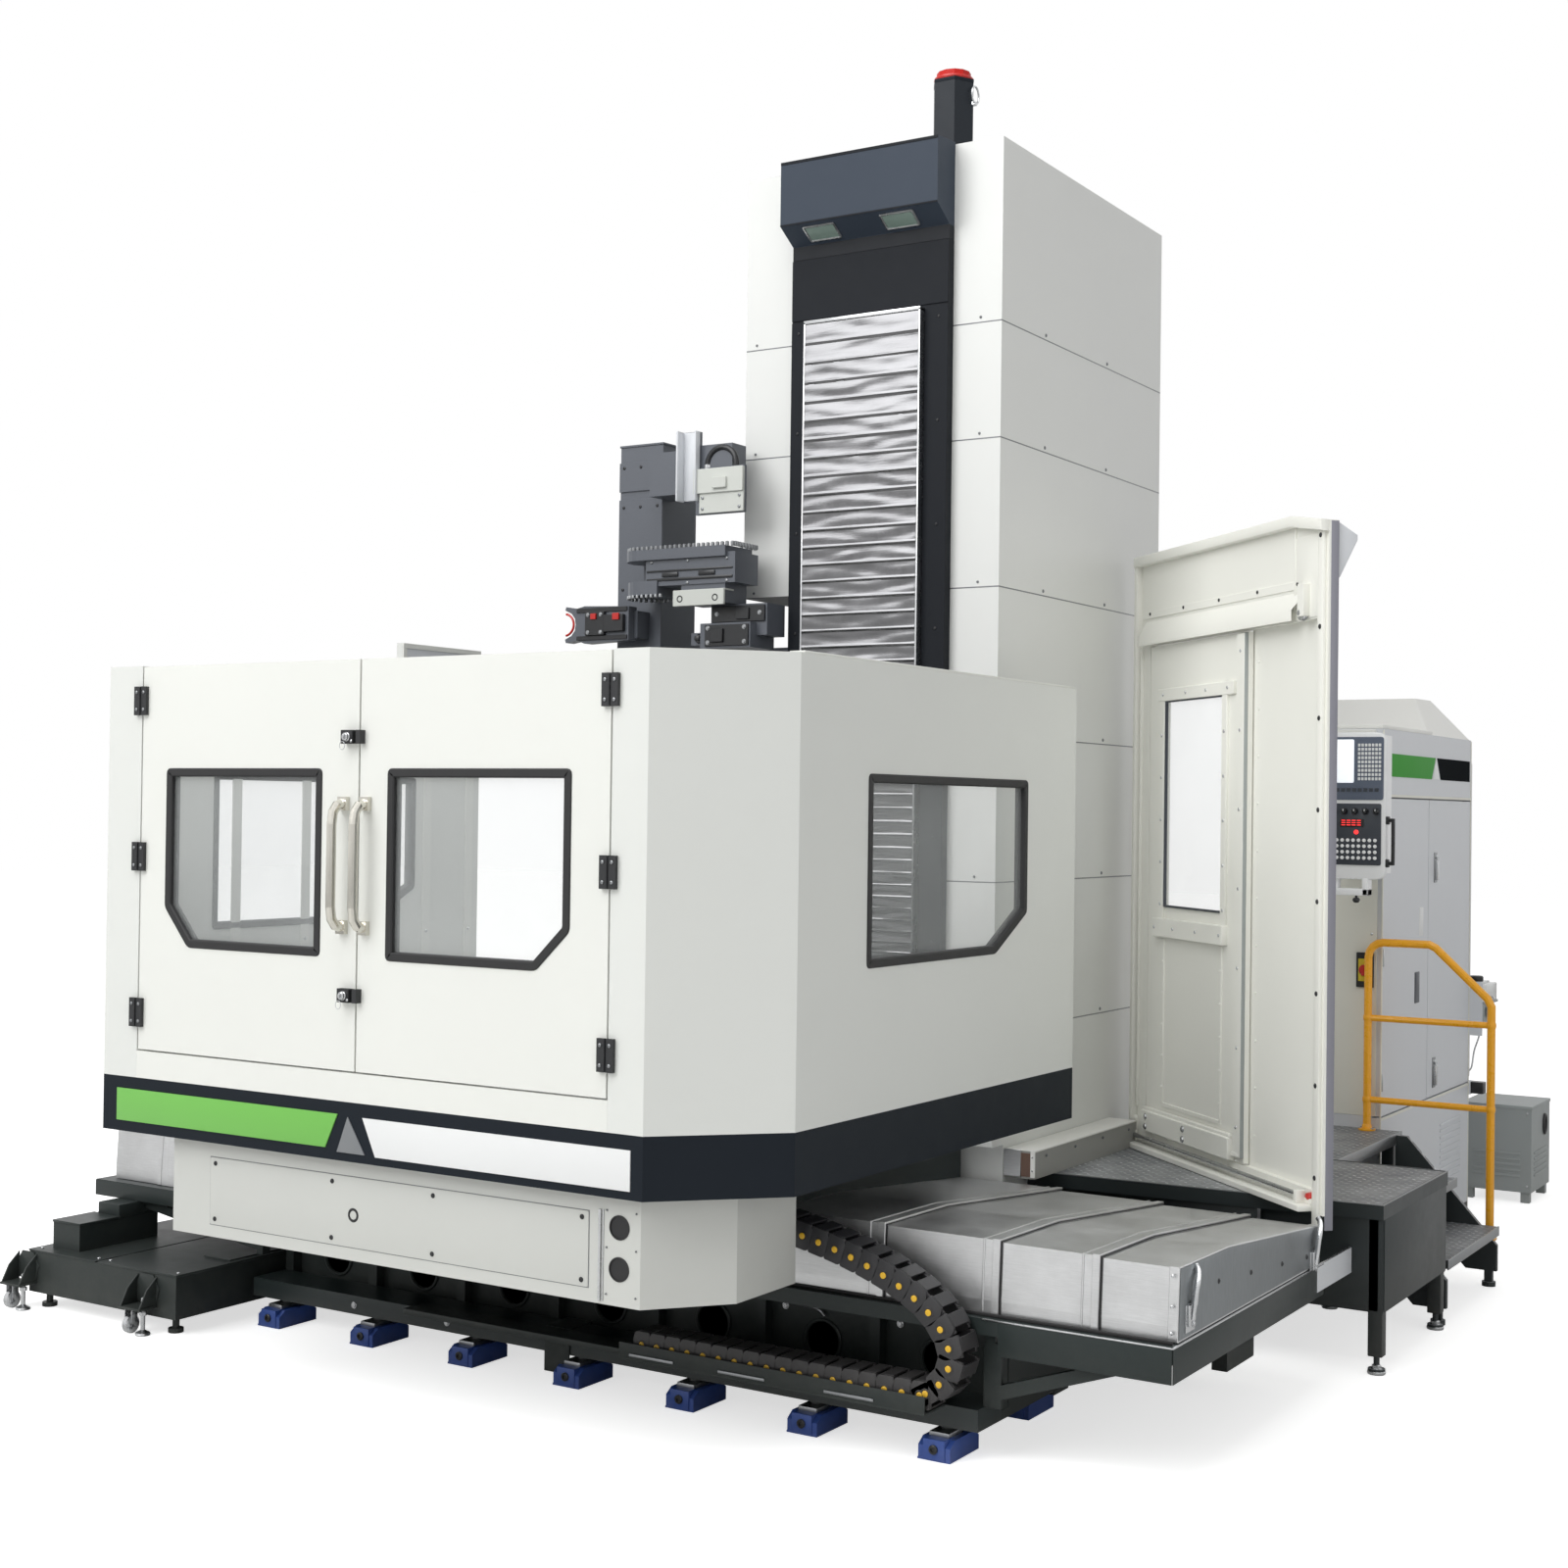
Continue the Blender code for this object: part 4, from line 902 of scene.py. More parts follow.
def makeChain(s):
    line = eased(s["middle"], 12)
    run = np.concatenate([[0], np.cumsum(np.linalg.norm(np.diff(line, axis=0), axis=1))])
    spots = np.arange(s["pitch"] / 2, run[-1], s["pitch"])
    at = np.stack([np.interp(spots, run, line[:, i]) for i in (0, 1)], axis=1)
    ahead = np.stack([
        np.interp(spots + 10, run, line[:, i]) - np.interp(spots - 10, run, line[:, i]) for i in (0, 1)
    ], axis=1)
    ahead /= np.linalg.norm(ahead, axis=1)[:, None]
    across = np.stack([-ahead[:, 1], ahead[:, 0]], axis=1)

    def along(points):
        # a drawing of one link, in along, depth and across, is set at every place on the middle line
        p = points[None]
        x = at[:, 0, None] + p[..., 0] * ahead[:, 0, None] + p[..., 2] * across[:, 0, None]
        z = at[:, 1, None] + p[..., 0] * ahead[:, 1, None] + p[..., 2] * across[:, 1, None]
        return np.stack([x, np.broadcast_to(p[..., 1], x.shape), z], axis=2).reshape(-1, 3)

    def everyLink(shape):
        points, faces = shape
        first = (np.arange(len(at)) * len(points))[:, None]
        lists = []
        for n in set(map(len, faces)):
            block = np.array([f for f in faces if len(f) == n])
            lists += (block[None] + first[:, :, None]).reshape(-1, n).tolist()
        return along(points), lists

    h, (y0, y1) = s["half"], s["y"]
    outer = rounded([
        (-29, -h * 0.97), (20, -h * 0.97), (31, -h * 0.5), (31, h * 0.5), (20, h * 0.97), (-29, h * 0.97)
    ], 6, 3)
    sides = joined(plate(outer, y0 - 1, y0 + 10, "y", 1.5), plate(outer, y1 - 10, y1 + 1, "y", 1.5))
    bars = slabs([(-24, 16, y0 + 8, y1 - 8, h - 6, h), (-24, 16, y0 + 8, y1 - 8, -h, -h + 6)], 2)
    inner = slabs([
        (-31, 31, y0 + 4, y0 + 14, -h * 0.84, h * 0.84), (-31, 31, y1 - 14, y1 - 4, -h * 0.84, h * 0.84)
    ], 3, axis=1)
    links = add("drag_chain_links", "chain", everyLink(joined(sides, bars, inner)))
    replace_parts(links, "drag_chain")
    rings = turnedParts([(0, y0 - 1, 0)], [(15, -1), (15, 1.2), (12, 2), (9.8, 0.6)], sides=14)
    add("drag_chain_pin_rims", "chain", everyLink(rings))
    pins = turnedParts([(0, y0 - 1, 0)], [(9.2, -1), (9.2, 2.2), (7.6, 3.2), (3, 3.4)], sides=14)
    add("drag_chain_pins", "dotYellow", everyLink(pins))
    # the trough that the lower run lies in, and the bracket that holds the upper end
    trough = [
        (260, 1300, y0 - 16, y0 - 12, 148, 196), (260, 1300, y0 - 16, -45, 144, 150),
        (-620, 270, -150, -52, 150.5, 170)
    ]
    add("chain_trough", "casting", slabs(trough, 1.2, axis=0))
    add("chain_bracket", "black", slabs([
        (690, 760, y0 - 10, y1 + 6, 565, 600), (690, 700, y0 - 10, y1 + 6, 565, 668),
        (690, 790, y0 - 12, y0 - 6, 575, 672)
    ], 2))
    lipBits = [(x, x + 160, y0 - 20, y0 - 16, 158, 166) for x in (300, 620, 980)]
    add("trough_clips", "rawSteel", slabs(lipBits, 1, axis=0))


makeChain(chainSet)
print("drag chain made")


# telescopic covers: raised wiper lips at every seam, bright folded edges, the end plate and its latches

coverSet = {
    "section": [(-10.5, 406), (-10.5, 443.5), (-0.8, 618.2), (386, 611.5), (1205.5, 540.5), (1205.5, 406)],
    "seams": [(1078.7, 0), (1440.7, 6), (1736.7, 12)], "end": (1961, 18),
    "left": [(-1460, 6), (-1720, 12), (-1960, 18)],
}


def coverLip(section, x0, x1, thick, by=0):
    # the cover's own section, offset outwards by a thickness and back, carried from one x to the next
    p = np.array(section, float)
    p[:, 0] += np.where(p[:, 0] < 200, by, np.where(p[:, 0] > 1000, -by, 0))
    p[:, 1] -= np.where(p[:, 1] > 500, by, 0)
    step = np.gradient(p, axis=0)
    step /= np.linalg.norm(step, axis=1)[:, None]
    out = np.stack([-step[:, 1], step[:, 0]], axis=1)
    out[0], out[-1] = (-1, 0), (1, 0)
    out[1], out[2] = (-1, 0.05), (-0.8, 0.9)
    out[4] = (0.8, 0.9)
    ringed = np.concatenate([p + out * thick, (p - out * 1)[::-1]])
    inner = np.concatenate([p + out * thick * 0.45, (p - out * 1)[::-1]])
    stack = np.stack([
        laid(inner, x0, "x"), laid(ringed, x0 + 1.5, "x"), laid(ringed, x1 - 1.5, "x"), laid(inner, x1, "x")
    ])
    return skinned(stack[None])


def makeCovers(s):
    lips = []
    for x, by in s["seams"]:
        lips += [coverLip(s["section"], x - 22, x + 1, 3.8, by), coverLip(s["section"], x - 52, x - 46, 2.2, by)]
    add("cover_lips_right", "stainless", joined(*lips), soften=25)
    rubbers = [coverLip(s["section"], x + 1, x + 5, 1.2, by + 3) for x, by in s["seams"]]
    add("cover_wipers_right", "rubber", joined(*rubbers), soften=25)
    lips = []
    for x, by in s["left"]:
        lips += [
            coverLip(s["section"], x - 1, x + 22, 3.8, by - 4), coverLip(s["section"], x + 46, x + 52, 2.2, by - 4)
        ]
    add("cover_lips_left", "stainless", joined(*lips), soften=25)
    xe, by = s["end"]
    plateOutline = [(10, 410), (1186, 410), (1186, 522), (386, 591.5), (20, 598)]
    add("cover_end_plate", "shadedCoverEnd", plate(plateOutline, xe - 1, xe + 3.5, "x", 1.2))
    rows = [(xe + 3, y, z) for y, z in ((300, 515), (560, 492), (830, 468), (1060, 448))]
    add("cover_end_screws", "blackPlastic", screwHeads(rows, 8, axis=0, way=1))
    flange = coverLip(s["section"], xe - 28, xe + 1, 3, by)
    add("cover_end_lip", "stainless", flange, soften=25)
    studs = [(xe - 14, y, z) for y, z in ((4.5, 580), (0.5, 500), (-3.5, 430))]
    add("cover_end_studs", "chrome", screwHeads(studs, 5))
    # toggle latches: a base plate with two bolts, a bowed lever that reaches over the edge, and its pivot
    parts = []
    for y, z in ((82, 500), (1120, 462)):
        parts.append(slabs([
            (xe + 3, xe + 7, y - 34, y + 30, z - 78, z - 4), (xe + 6, xe + 16, y - 30, y - 20, z - 60, z - 4),
            (xe + 6, xe + 16, y + 6, y + 14, z - 50, z + 4)
        ], 1.8, axis=0))
        lever = eased([
            (xe + 12, y - 8, z - 45), (xe + 16, y - 2, z - 10), (xe + 19, y + 2, z + 24), (xe + 21, y + 10, z + 52),
            (xe + 16, y + 28, z + 78), (xe + 4, y + 40, z + 92)
        ], 6)
        parts.append(bentBar(lever, 8.5, 10, squeeze=0.5))
        hook = eased([
            (xe + 14, y + 20, z - 10), (xe + 16, y + 24, z + 30), (xe + 14, y + 34, z + 60), (xe + 6, y + 44, z + 76)
        ], 6)
        parts.append(bentBar(hook, 4.5, 8))
        parts.append(hexBolts([(xe + 6.5, y + 20, z - 30), (xe + 6.5, y + 18, z - 62)], 7, axis=0, way=1))
    add("cover_latches", "chrome", joined(*parts))
    # the frame under the covers: a deep front and right edge with a bright top line
    frameBits = [
        (1460, 1965, -43.5, -40.5, 305, 398), (1965.5, 1968.5, -40, 1215, 305, 398),
        (-2243, -2240.5, -40, 1215, 345, 400), (-2240, -1460, -43.5, -40.5, 345, 400)
    ]
    add("tray_skirts", "casting", slabs(frameBits, 1))
    add("tray_edges", "chrome", slabs([
        (1410, 1969, -44.5, -39, 398.5, 402.5), (1963.5, 1969.5, -44, 1215, 398.5, 402.5)
    ], 1.2, axis=2))
    add("cover_foot_strip", "rubber", slabs([(710, 1955, -16, -10.8, 402.5, 412)], 1, axis=0))
    # the hanging web plate, and the grey side plate of the tray with its edge
    webs = [(1400, 1455, -10, 4, 150, 330)]
    add("bed_end_plates", "casting", slabs(webs, 2, axis=1))
    add("tray_side_plate", "grey", slabs([(1965.5, 1969.5, 1150, 1500, 322, 405)], 1, axis=0))
    add("tray_side_edge", "chrome", slabs([(1964, 1971, 1150, 1500, 404.5, 408.5)], 1, axis=0))


makeCovers(coverSet)
print("covers made")


# tool changer: bracket plates, the ring of rollers on its chain, and the grip

changerSet = {"chainZ": 2738.5, "left": -508, "right": -120, "y": 1000, "radius": 80, "beads": 62}


def makeChanger(s):
    # the chain's line: two straight runs and two half turns
    length = s["right"] - s["left"]
    total = 2 * length + 2 * np.pi * s["radius"]
    run = np.linspace(0, total, s["beads"], endpoint=False)
    r = s["radius"]
    half = np.pi * r
    x = np.select(
        [run < length, run < length + half, run < 2 * length + half],
        [s["left"] + run, s["right"] + r * np.sin((run - length) / r), s["right"] - (run - length - half)],
        s["left"] - r * np.sin((run - 2 * length - half) / r)
    )
    y = np.select(
        [run < length, run < length + half, run < 2 * length + half],
        [s["y"] - r, s["y"] - r * np.cos((run - length) / r), s["y"] + r],
        s["y"] + r * np.cos((run - 2 * length - half) / r)
    )
    x = np.minimum(x, -90)
    spots = np.stack([x, y, np.full(len(run), s["chainZ"])], axis=1)
    add("changer_chain_rollers", "rawSteel", upright(spots, [(5.8, -4), (6.6, 1), (6.6, 11), (4.2, 13), (1.5, 13)], 10))
    low = spots.copy()
    low[:, 2] = 2574
    add("changer_chain_rollers_low", "rawSteel", turnedParts(
        low[x < -400], [(5.8, -2), (6.6, 1), (6.6, 9), (4.2, 11), (1.5, 11)], axis=2, sides=10, way=-1
    ))
    bits = [
        (-470, -95, 921.5, 926, 2655, 2662), (-470, -95, 921.5, 926, 2622, 2632), (-400, -330, 919, 926, 2636, 2652),
        (-240, -170, 919, 926, 2636, 2652)
    ]
    add("changer_housing_ribs", "blackPlastic", slabs(bits, 1.5, axis=0))
    add(
        "changer_housing_screws", "rawSteel",
        screwHeads([(x, 924.5, z) for x in (-450, -290, -120) for z in (2612, 2692)], 6)
    )
    cream = [
        (-349, -128, 918, 929, 2527, 2585), (-349, -128, 926, 985, 2580, 2586), (-290, -98, 992, 1000.5, 2868, 2945),
        (-313, -98, 985, 1001, 2940, 3030)
    ]
    add("changer_cream_plates", "changerCream", slabs(cream, 3, axis=1))
    add("changer_cream_holes", "blackPlastic", turnedParts(
        [(x, 918.5, 2553) for x in (-318, -165)], [(13, -1), (13, 0.8), (9, 0.4), (1, 0.2)], sides=18
    ))
    add("changer_plate_screws", "rawSteel", screwHeads([(x, 991.5, z) for x in (-275, -115) for z in (2885, 2925)], 6))
    add("changer_plate_box", "changerCream", slabs([(-225, -165, 975, 992, 2955, 2995)], 3, axis=1))
    grey = [
        (-370, -362, 955, 1003, 2915, 3170), (-366, -298, 996, 1001, 2918, 3168), (-302, -296, 975, 1003, 2915, 3170)
    ]
    add("changer_side_plate", "grey", slabs(grey, 2, axis=2))
    hoop = np.radians(np.linspace(-50, 185, 34))
    hose = np.stack([-205 + 62 * np.cos(hoop), np.full(34, 1012), 3045 + 62 * np.sin(hoop)], axis=1)
    add("changer_hose", "blackPlastic", bentBar(hose, 11, 12))
    add("changer_hose_ends", "chrome", upright([
        (hose[0, 0], 1012, hose[0, 2] - 12), (hose[-1, 0], 1012, hose[-1, 2] - 14)
    ], [(14, 0), (15, 3), (15, 20), (12, 23)], 12))
    # tower: cap plate, step and screws
    tower = [
        (-729, -526, 1096, 1324, 3158, 3166), (-727.5, -527.5, 1094, 1100.5, 2990, 3100),
        (-727.5, -527.5, 1094, 1100.5, 2280, 2960)
    ]
    add("changer_tower_plates", "changerGrey", slabs(tower, 2, axis=1))
    add("changer_tower_screws", "blackPlastic", screwHeads([
        (x, 1094.5, z) for x in (-705, -628, -550) for z in (3080, 2930, 2620, 2330)
    ], 6.5))
    # grip: red edged jaw, dark clamps and a pin
    jaw = np.radians(np.linspace(100, 260, 24))
    rim = np.stack([-892 + 43 * -np.cos(jaw), np.full(24, 982.5), 2485 + 41 * np.sin(jaw)], axis=1)
    add("grip_red_edge", "redPlastic", bentBar(rim, 4.5, 8))
    clamp = [
        (-790, -700, 972, 988, 2440, 2530), (-700, -610, 968, 990, 2452, 2516), (-835, -600, 980, 986, 2528, 2545),
        (-835, -600, 980, 986, 2424, 2440)
    ]
    add("grip_clamps", "blackPlastic", slabs(clamp, 4, axis=1))
    add("grip_red_blocks", "redPlastic", slabs([
        (-655, -625, 962, 970, 2495, 2520), (-760, -735, 966, 974, 2500, 2522)
    ], 2, axis=1))
    add("grip_bolts", "rawSteel", hexBolts([(x, 972.5, z) for x in (-775, -715) for z in (2452, 2518)], 6))
    nose = turnedParts([(-275, 992, 2413)], [(18, -2), (18, 8), (13, 12), (11, 26), (4, 28)], sides=18)
    ears = slabs([
        (-232, -46, 954, 962, 2382, 2458), (-205, -150, 945, 960, 2395, 2445), (-228, -2, 992, 1001, 2470, 2528),
        (-120, -65, 985, 996, 2478, 2520)
    ], 4, axis=1)
    add("changer_block_parts", "blackPlastic", joined(nose, ears))
    add("changer_block_bolts", "rawSteel", hexBolts(
        [(x, 954.5, z) for x in (-218, -62) for z in (2395, 2447)] + [(x, 992.5, 2500) for x in (-205, -22)], 6.5
    ))


makeChanger(changerSet)
print("tool changer made")


# guard: its own frame runs s along it from the column and t towards the operator

guardSet = {"a": (930, 2180), "b": (1960, 1227)}


def guardPlace(points):
    # turn by the guard's own angle and move to its foot by the column
    (ax, ay), (bx, by) = guardSet["a"], guardSet["b"]
    angle = math.atan2(by - ay, bx - ax)
    q = points.copy()
    q[:, 0] = ax + points[:, 0] * math.cos(angle) + points[:, 1] * math.sin(angle)
    q[:, 1] = ay + points[:, 0] * math.sin(angle) - points[:, 1] * math.cos(angle)
    return q


def makeGuard():
    # every slab here is s0, s1, t0, t1, z0, z1
    def put(name, finish, shape, body="machine"):
        return add(name, finish, shape, body, guardPlace)

    moving, outwards = "guard_door", {"axis": 1, "way": 1}
    put("guard_door_rails", "guardCream", slabs([
        (205, 242, -2, 10, 1415, 2262), (700, 737, -2, 10, 1415, 2262), (190, 790, -2, 12, 2216, 2262),
        (185, 742, -2, 24, 1350, 1418), (818, 872, -2, 16, 640, 2420), (806, 820, -2, 6, 640, 2400),
    ], 3.5, axis=1), moving)
    put("guard_door_panel", "guardCream", slabs([
        (236, 248, -2, 5, 735, 1345), (694, 706, -2, 5, 735, 1345), (236, 706, -2, 5, 728, 742)
    ], 2, axis=1), moving)
    put("guard_door_foot", "guardCream", slabs([
        (118, 812, -2, 30, 624, 700), (118, 812, 4, 22, 696, 712), (812, 860, -2, 18, 640, 656)
    ], 5, axis=1), moving)
    put("guard_door_edge", "trafoGrey", slabs([(873.5, 874.5, 1, 14, 640, 2420)], 0.4), moving)
    dots = [(s, 9.5, z) for s in (223.5, 718.5) for z in np.arange(1470, 2230, 155)]
    dots += [(s, 11.5, 2240) for s in (235, 420, 580, 745)] + [(s, 23.5, 1384) for s in (205, 360, 540, 722)]
    dots += [(846, 15.5, z) for z in np.arange(740, 2410, 270)]
    put("guard_door_screws", "chrome", screwHeads(dots, 6.2, **outwards), moving)
    put("guard_door_spots", "guardCream", screwHeads([
        (s, 4.5, z) for s in (242, 700) for z in np.arange(800, 1330, 115)
    ], 4.5, **outwards), moving)
    put("guard_foot_bolts", "chrome", hexBolts([
        (s, 29.5, z) for s in (160, 470) for z in (642, 678)
    ], 9, **outwards), moving)
    put(
        "guard_window_seal", "panelDark",
        edging(rounded(corners(239.5, 703, 1460, 2218), 10), corners(-1, 7, 6, -5), "y"), moving
    )
    # fixed frame: top flange, left post, sill, slide rails, right post with its bolts
    outline = [(0, 2770.5), (1207.5, 2770.5), (1403, 2735.5), (1403, 2700), (1203.5, 2734), (0, 2734)]
    put("guard_top_flange", "guardCream", plate(outline, -2, 30, "y", 4))
    put("guard_posts", "guardCream", slabs([
        (-1, 22, -1, 24, 552, 2735), (30, 40, -1, 10, 700, 2430), (1352, 1388, -1, 12, 470, 2715),
        (1190, 1198, -1, 6, 2460, 2735), (1196, 1352, -1, 4, 2436, 2700),
    ], 3, axis=2))
    put("guard_outer_post", "edgeGrey", slabs([(1398, 1404.2, -34.7, -7, 500, 2733)], 2, axis=2))
    put("guard_sill", "guardCream", slabs([(0, 1352, -1, 60, 551.5, 572), (0, 1352, 4, 14, 572, 590)], 4, axis=1))
    put("guard_slide_rails", "chrome", bentBar(np.stack([
        np.linspace(50, 1300, 12), np.full(12, 30), np.full(12, 597)
    ], axis=1), 8.5, 12))
    put("guard_slide_rail_ends", "guardCream", slabs([(1296, 1314, 12, 46, 572, 612), (36, 52, 12, 46, 572, 612)], 3))
    put("guard_post_bolts", "blackPlastic", screwHeads([
        (1370, 11.5, z) for z in np.arange(660, 2700, 290)
    ], 8.5, **outwards))
    put("guard_cover_flange", "guardCream", slabs([
        (44, 1252, -1, 4, 2533, 2560), (1252, 1292, -1, 28, 2440, 2545)
    ], 2, axis=1))
    # the rain cover over the door: a sheet that slopes out to a short lip; its outer end is cut at a slant
    fold = np.array([(0.5, 2522), (30.5, 2468), (30.5, 2430), (27.5, 2430), (27.5, 2466), (0.5, 2514)])
    ends = np.stack([laid(fold, 60, "x"), laid(fold, 63, "x"), laid(fold, 1250 - 1.3 * fold[:, 0], "x")])
    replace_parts(put("guard_cover_sheet", "guardCream", skinned(ends[None])), "guard_top_cover")
    put(
        "guard_cover_screws", "blackPlastic",
        screwHeads([(s, 3.5, 2550) for s in (100, 380, 660, 940, 1210)], 6.5, **outwards)
    )
    roller = turnedParts([(1262, 2, 2452)], [
        (6, 0), (24, 2), (26, 6), (22, 10), (26, 14), (24, 18), (10, 20), (9, 26), (2, 27)
    ], sides=24, **outwards)
    put("guard_roller", "chrome", roller)
    put("guard_back_spots", "guardCream", screwHeads([
        (905, -24.2, z) for z in np.arange(720, 2380, 160)
    ], 5, **outwards))
    # grey gusset behind the top corner and the foot bracket by the column
    put("guard_gusset", "grey", plate([
        (-34, 2734), (-34, 2555), (-44, 2555), (-106, 2676), (-106, 2692)
    ], 1386, 1392.5, "x", 1))
    put("guard_foot_bracket", "guardCream", slabs([(-20, 30, -80, 100, 551.5, 590), (-20, 30, -1, 10, 551.5, 665)], 4))
    put("guard_wall_blocks", "rawSteel", hexBolts([(s, 9.5, 635) for s in (0, 20)], 7, **outwards))
    put("guard_knob", "redPlastic", upright([(1330, 0, 572)], [
        (6, -2), (6, 10), (16, 14), (20, 22), (17, 32), (4, 36)
    ], 18))
    # what the backs of both panels show: stiffening channels
    put("guard_back_channels", "guardCream", slabs(
        [(s, s + 50, -47, -33.5, 620, 2720) for s in (10, 900, 1310)] + [
            (10, 1360, -47, -33.5, z, z + 50) for z in (570, 2450, 2680)
        ],
        3, axis=1
    ))


makeGuard()
print("guard made")


# platform: steel edges, tread nosings, feet and the railing's flanges

platformSet = {"z": 550, "plan": [(860, 1405), (1655, 1460), (2070, 1500), (2070, 2280), (860, 2280)], "railY": 3074.3,
    "legs": [
        (2045, 1530), (2045, 2240), (900, 1460), (900, 2240), (900, 2330), (900, 3070), (1640, 2330), (1640, 3070)
    ],
}


def makePlatform(s):
    z = s["z"]
    add("platform_edge", "darkSteel", edging(s["plan"], [
        (-3, z + 0.8), (6, z + 0.8), (6, z - 2), (-0.5, z - 2), (-0.5, z - 48), (-3, z - 48)
    ], "z"))
    add("platform_worn_rim", "rawSteel", edging(s["plan"], [
        (-4.2, z + 1.6), (1.2, z + 2.2), (1.2, z + 0.2), (-4.2, z - 1)
    ], "z"))
    skirt = [
        (2069.5, 2073, 1515, 2265, 205, 503), (1665, 2055, 1506.5, 1510.5, 205, 503),
        (925, 1662, 1466.5, 1470.5, 262, 503)
    ]
    add("platform_skirts", "darkSteel", slabs(skirt, 1.2))
    legs = [(x - 23.5, x + 23.5, y - 23.5, y + 23.5, 58, 506) for x, y in s["legs"]]
    add("platform_legs", "darkSteel", slabs(legs, 3))
    nuts = upright([(x, y, 18) for x, y in s["legs"]], [(16, 0), (16, 10), (12.5, 12.5), (11.5, 12.5)], 6)
    pads = upright([(x, y, 0) for x, y in s["legs"]], [
        (27, 0), (29.5, 3), (29.5, 9), (24, 14), (17, 19), (12, 19.5)
    ], 20)
    add("platform_feet", "chrome", joined(nuts, pads))
    add("stair_nosings", "rawSteel", slabs([
        (1906.5, 1912, 2308, 3052, 366, 402.2), (2066.5, 2072, 2308, 3052, 196, 232.2),
        (1672, 1678.5, 2285, 3118, 507, 552.2)
    ], 1.5, axis=1))
    # railing: base flanges, bolts and end caps of the cross bars
    y = s["railY"]
    flange = upright([(1550, y, z)], [(33, 0), (34, 3), (33, 8), (20, 10), (18, 22), (16.5, 24)], 24)
    weld = joined(*[
        upright([(x, y, h)], [(16.5, -12), (18.5, -4), (18.5, 4), (16.5, 12)], 20) for x in (1550, 2030)
        for h in (998, 673)
    ])
    foot = slabs([(2006, 2054, y - 30, y + 20, 170, 180)], 2)
    add("railing_flanges", "yellow", joined(flange, weld, foot))
    add("railing_bolts", "rawSteel", hexBolts([
        (1550 + dx, y + dy, z + 7.5) for dx in (-24, 24) for dy in (-12, 12)
    ], 5.5, axis=2, way=1))


makePlatform(platformSet)
print("platform made")


# electrical cabinet with its control panel, and the boxes beside it

cabinetSet = {"x": (950, 1590), "y": (3120, 4500), "bandZ": (1965, 2058)}


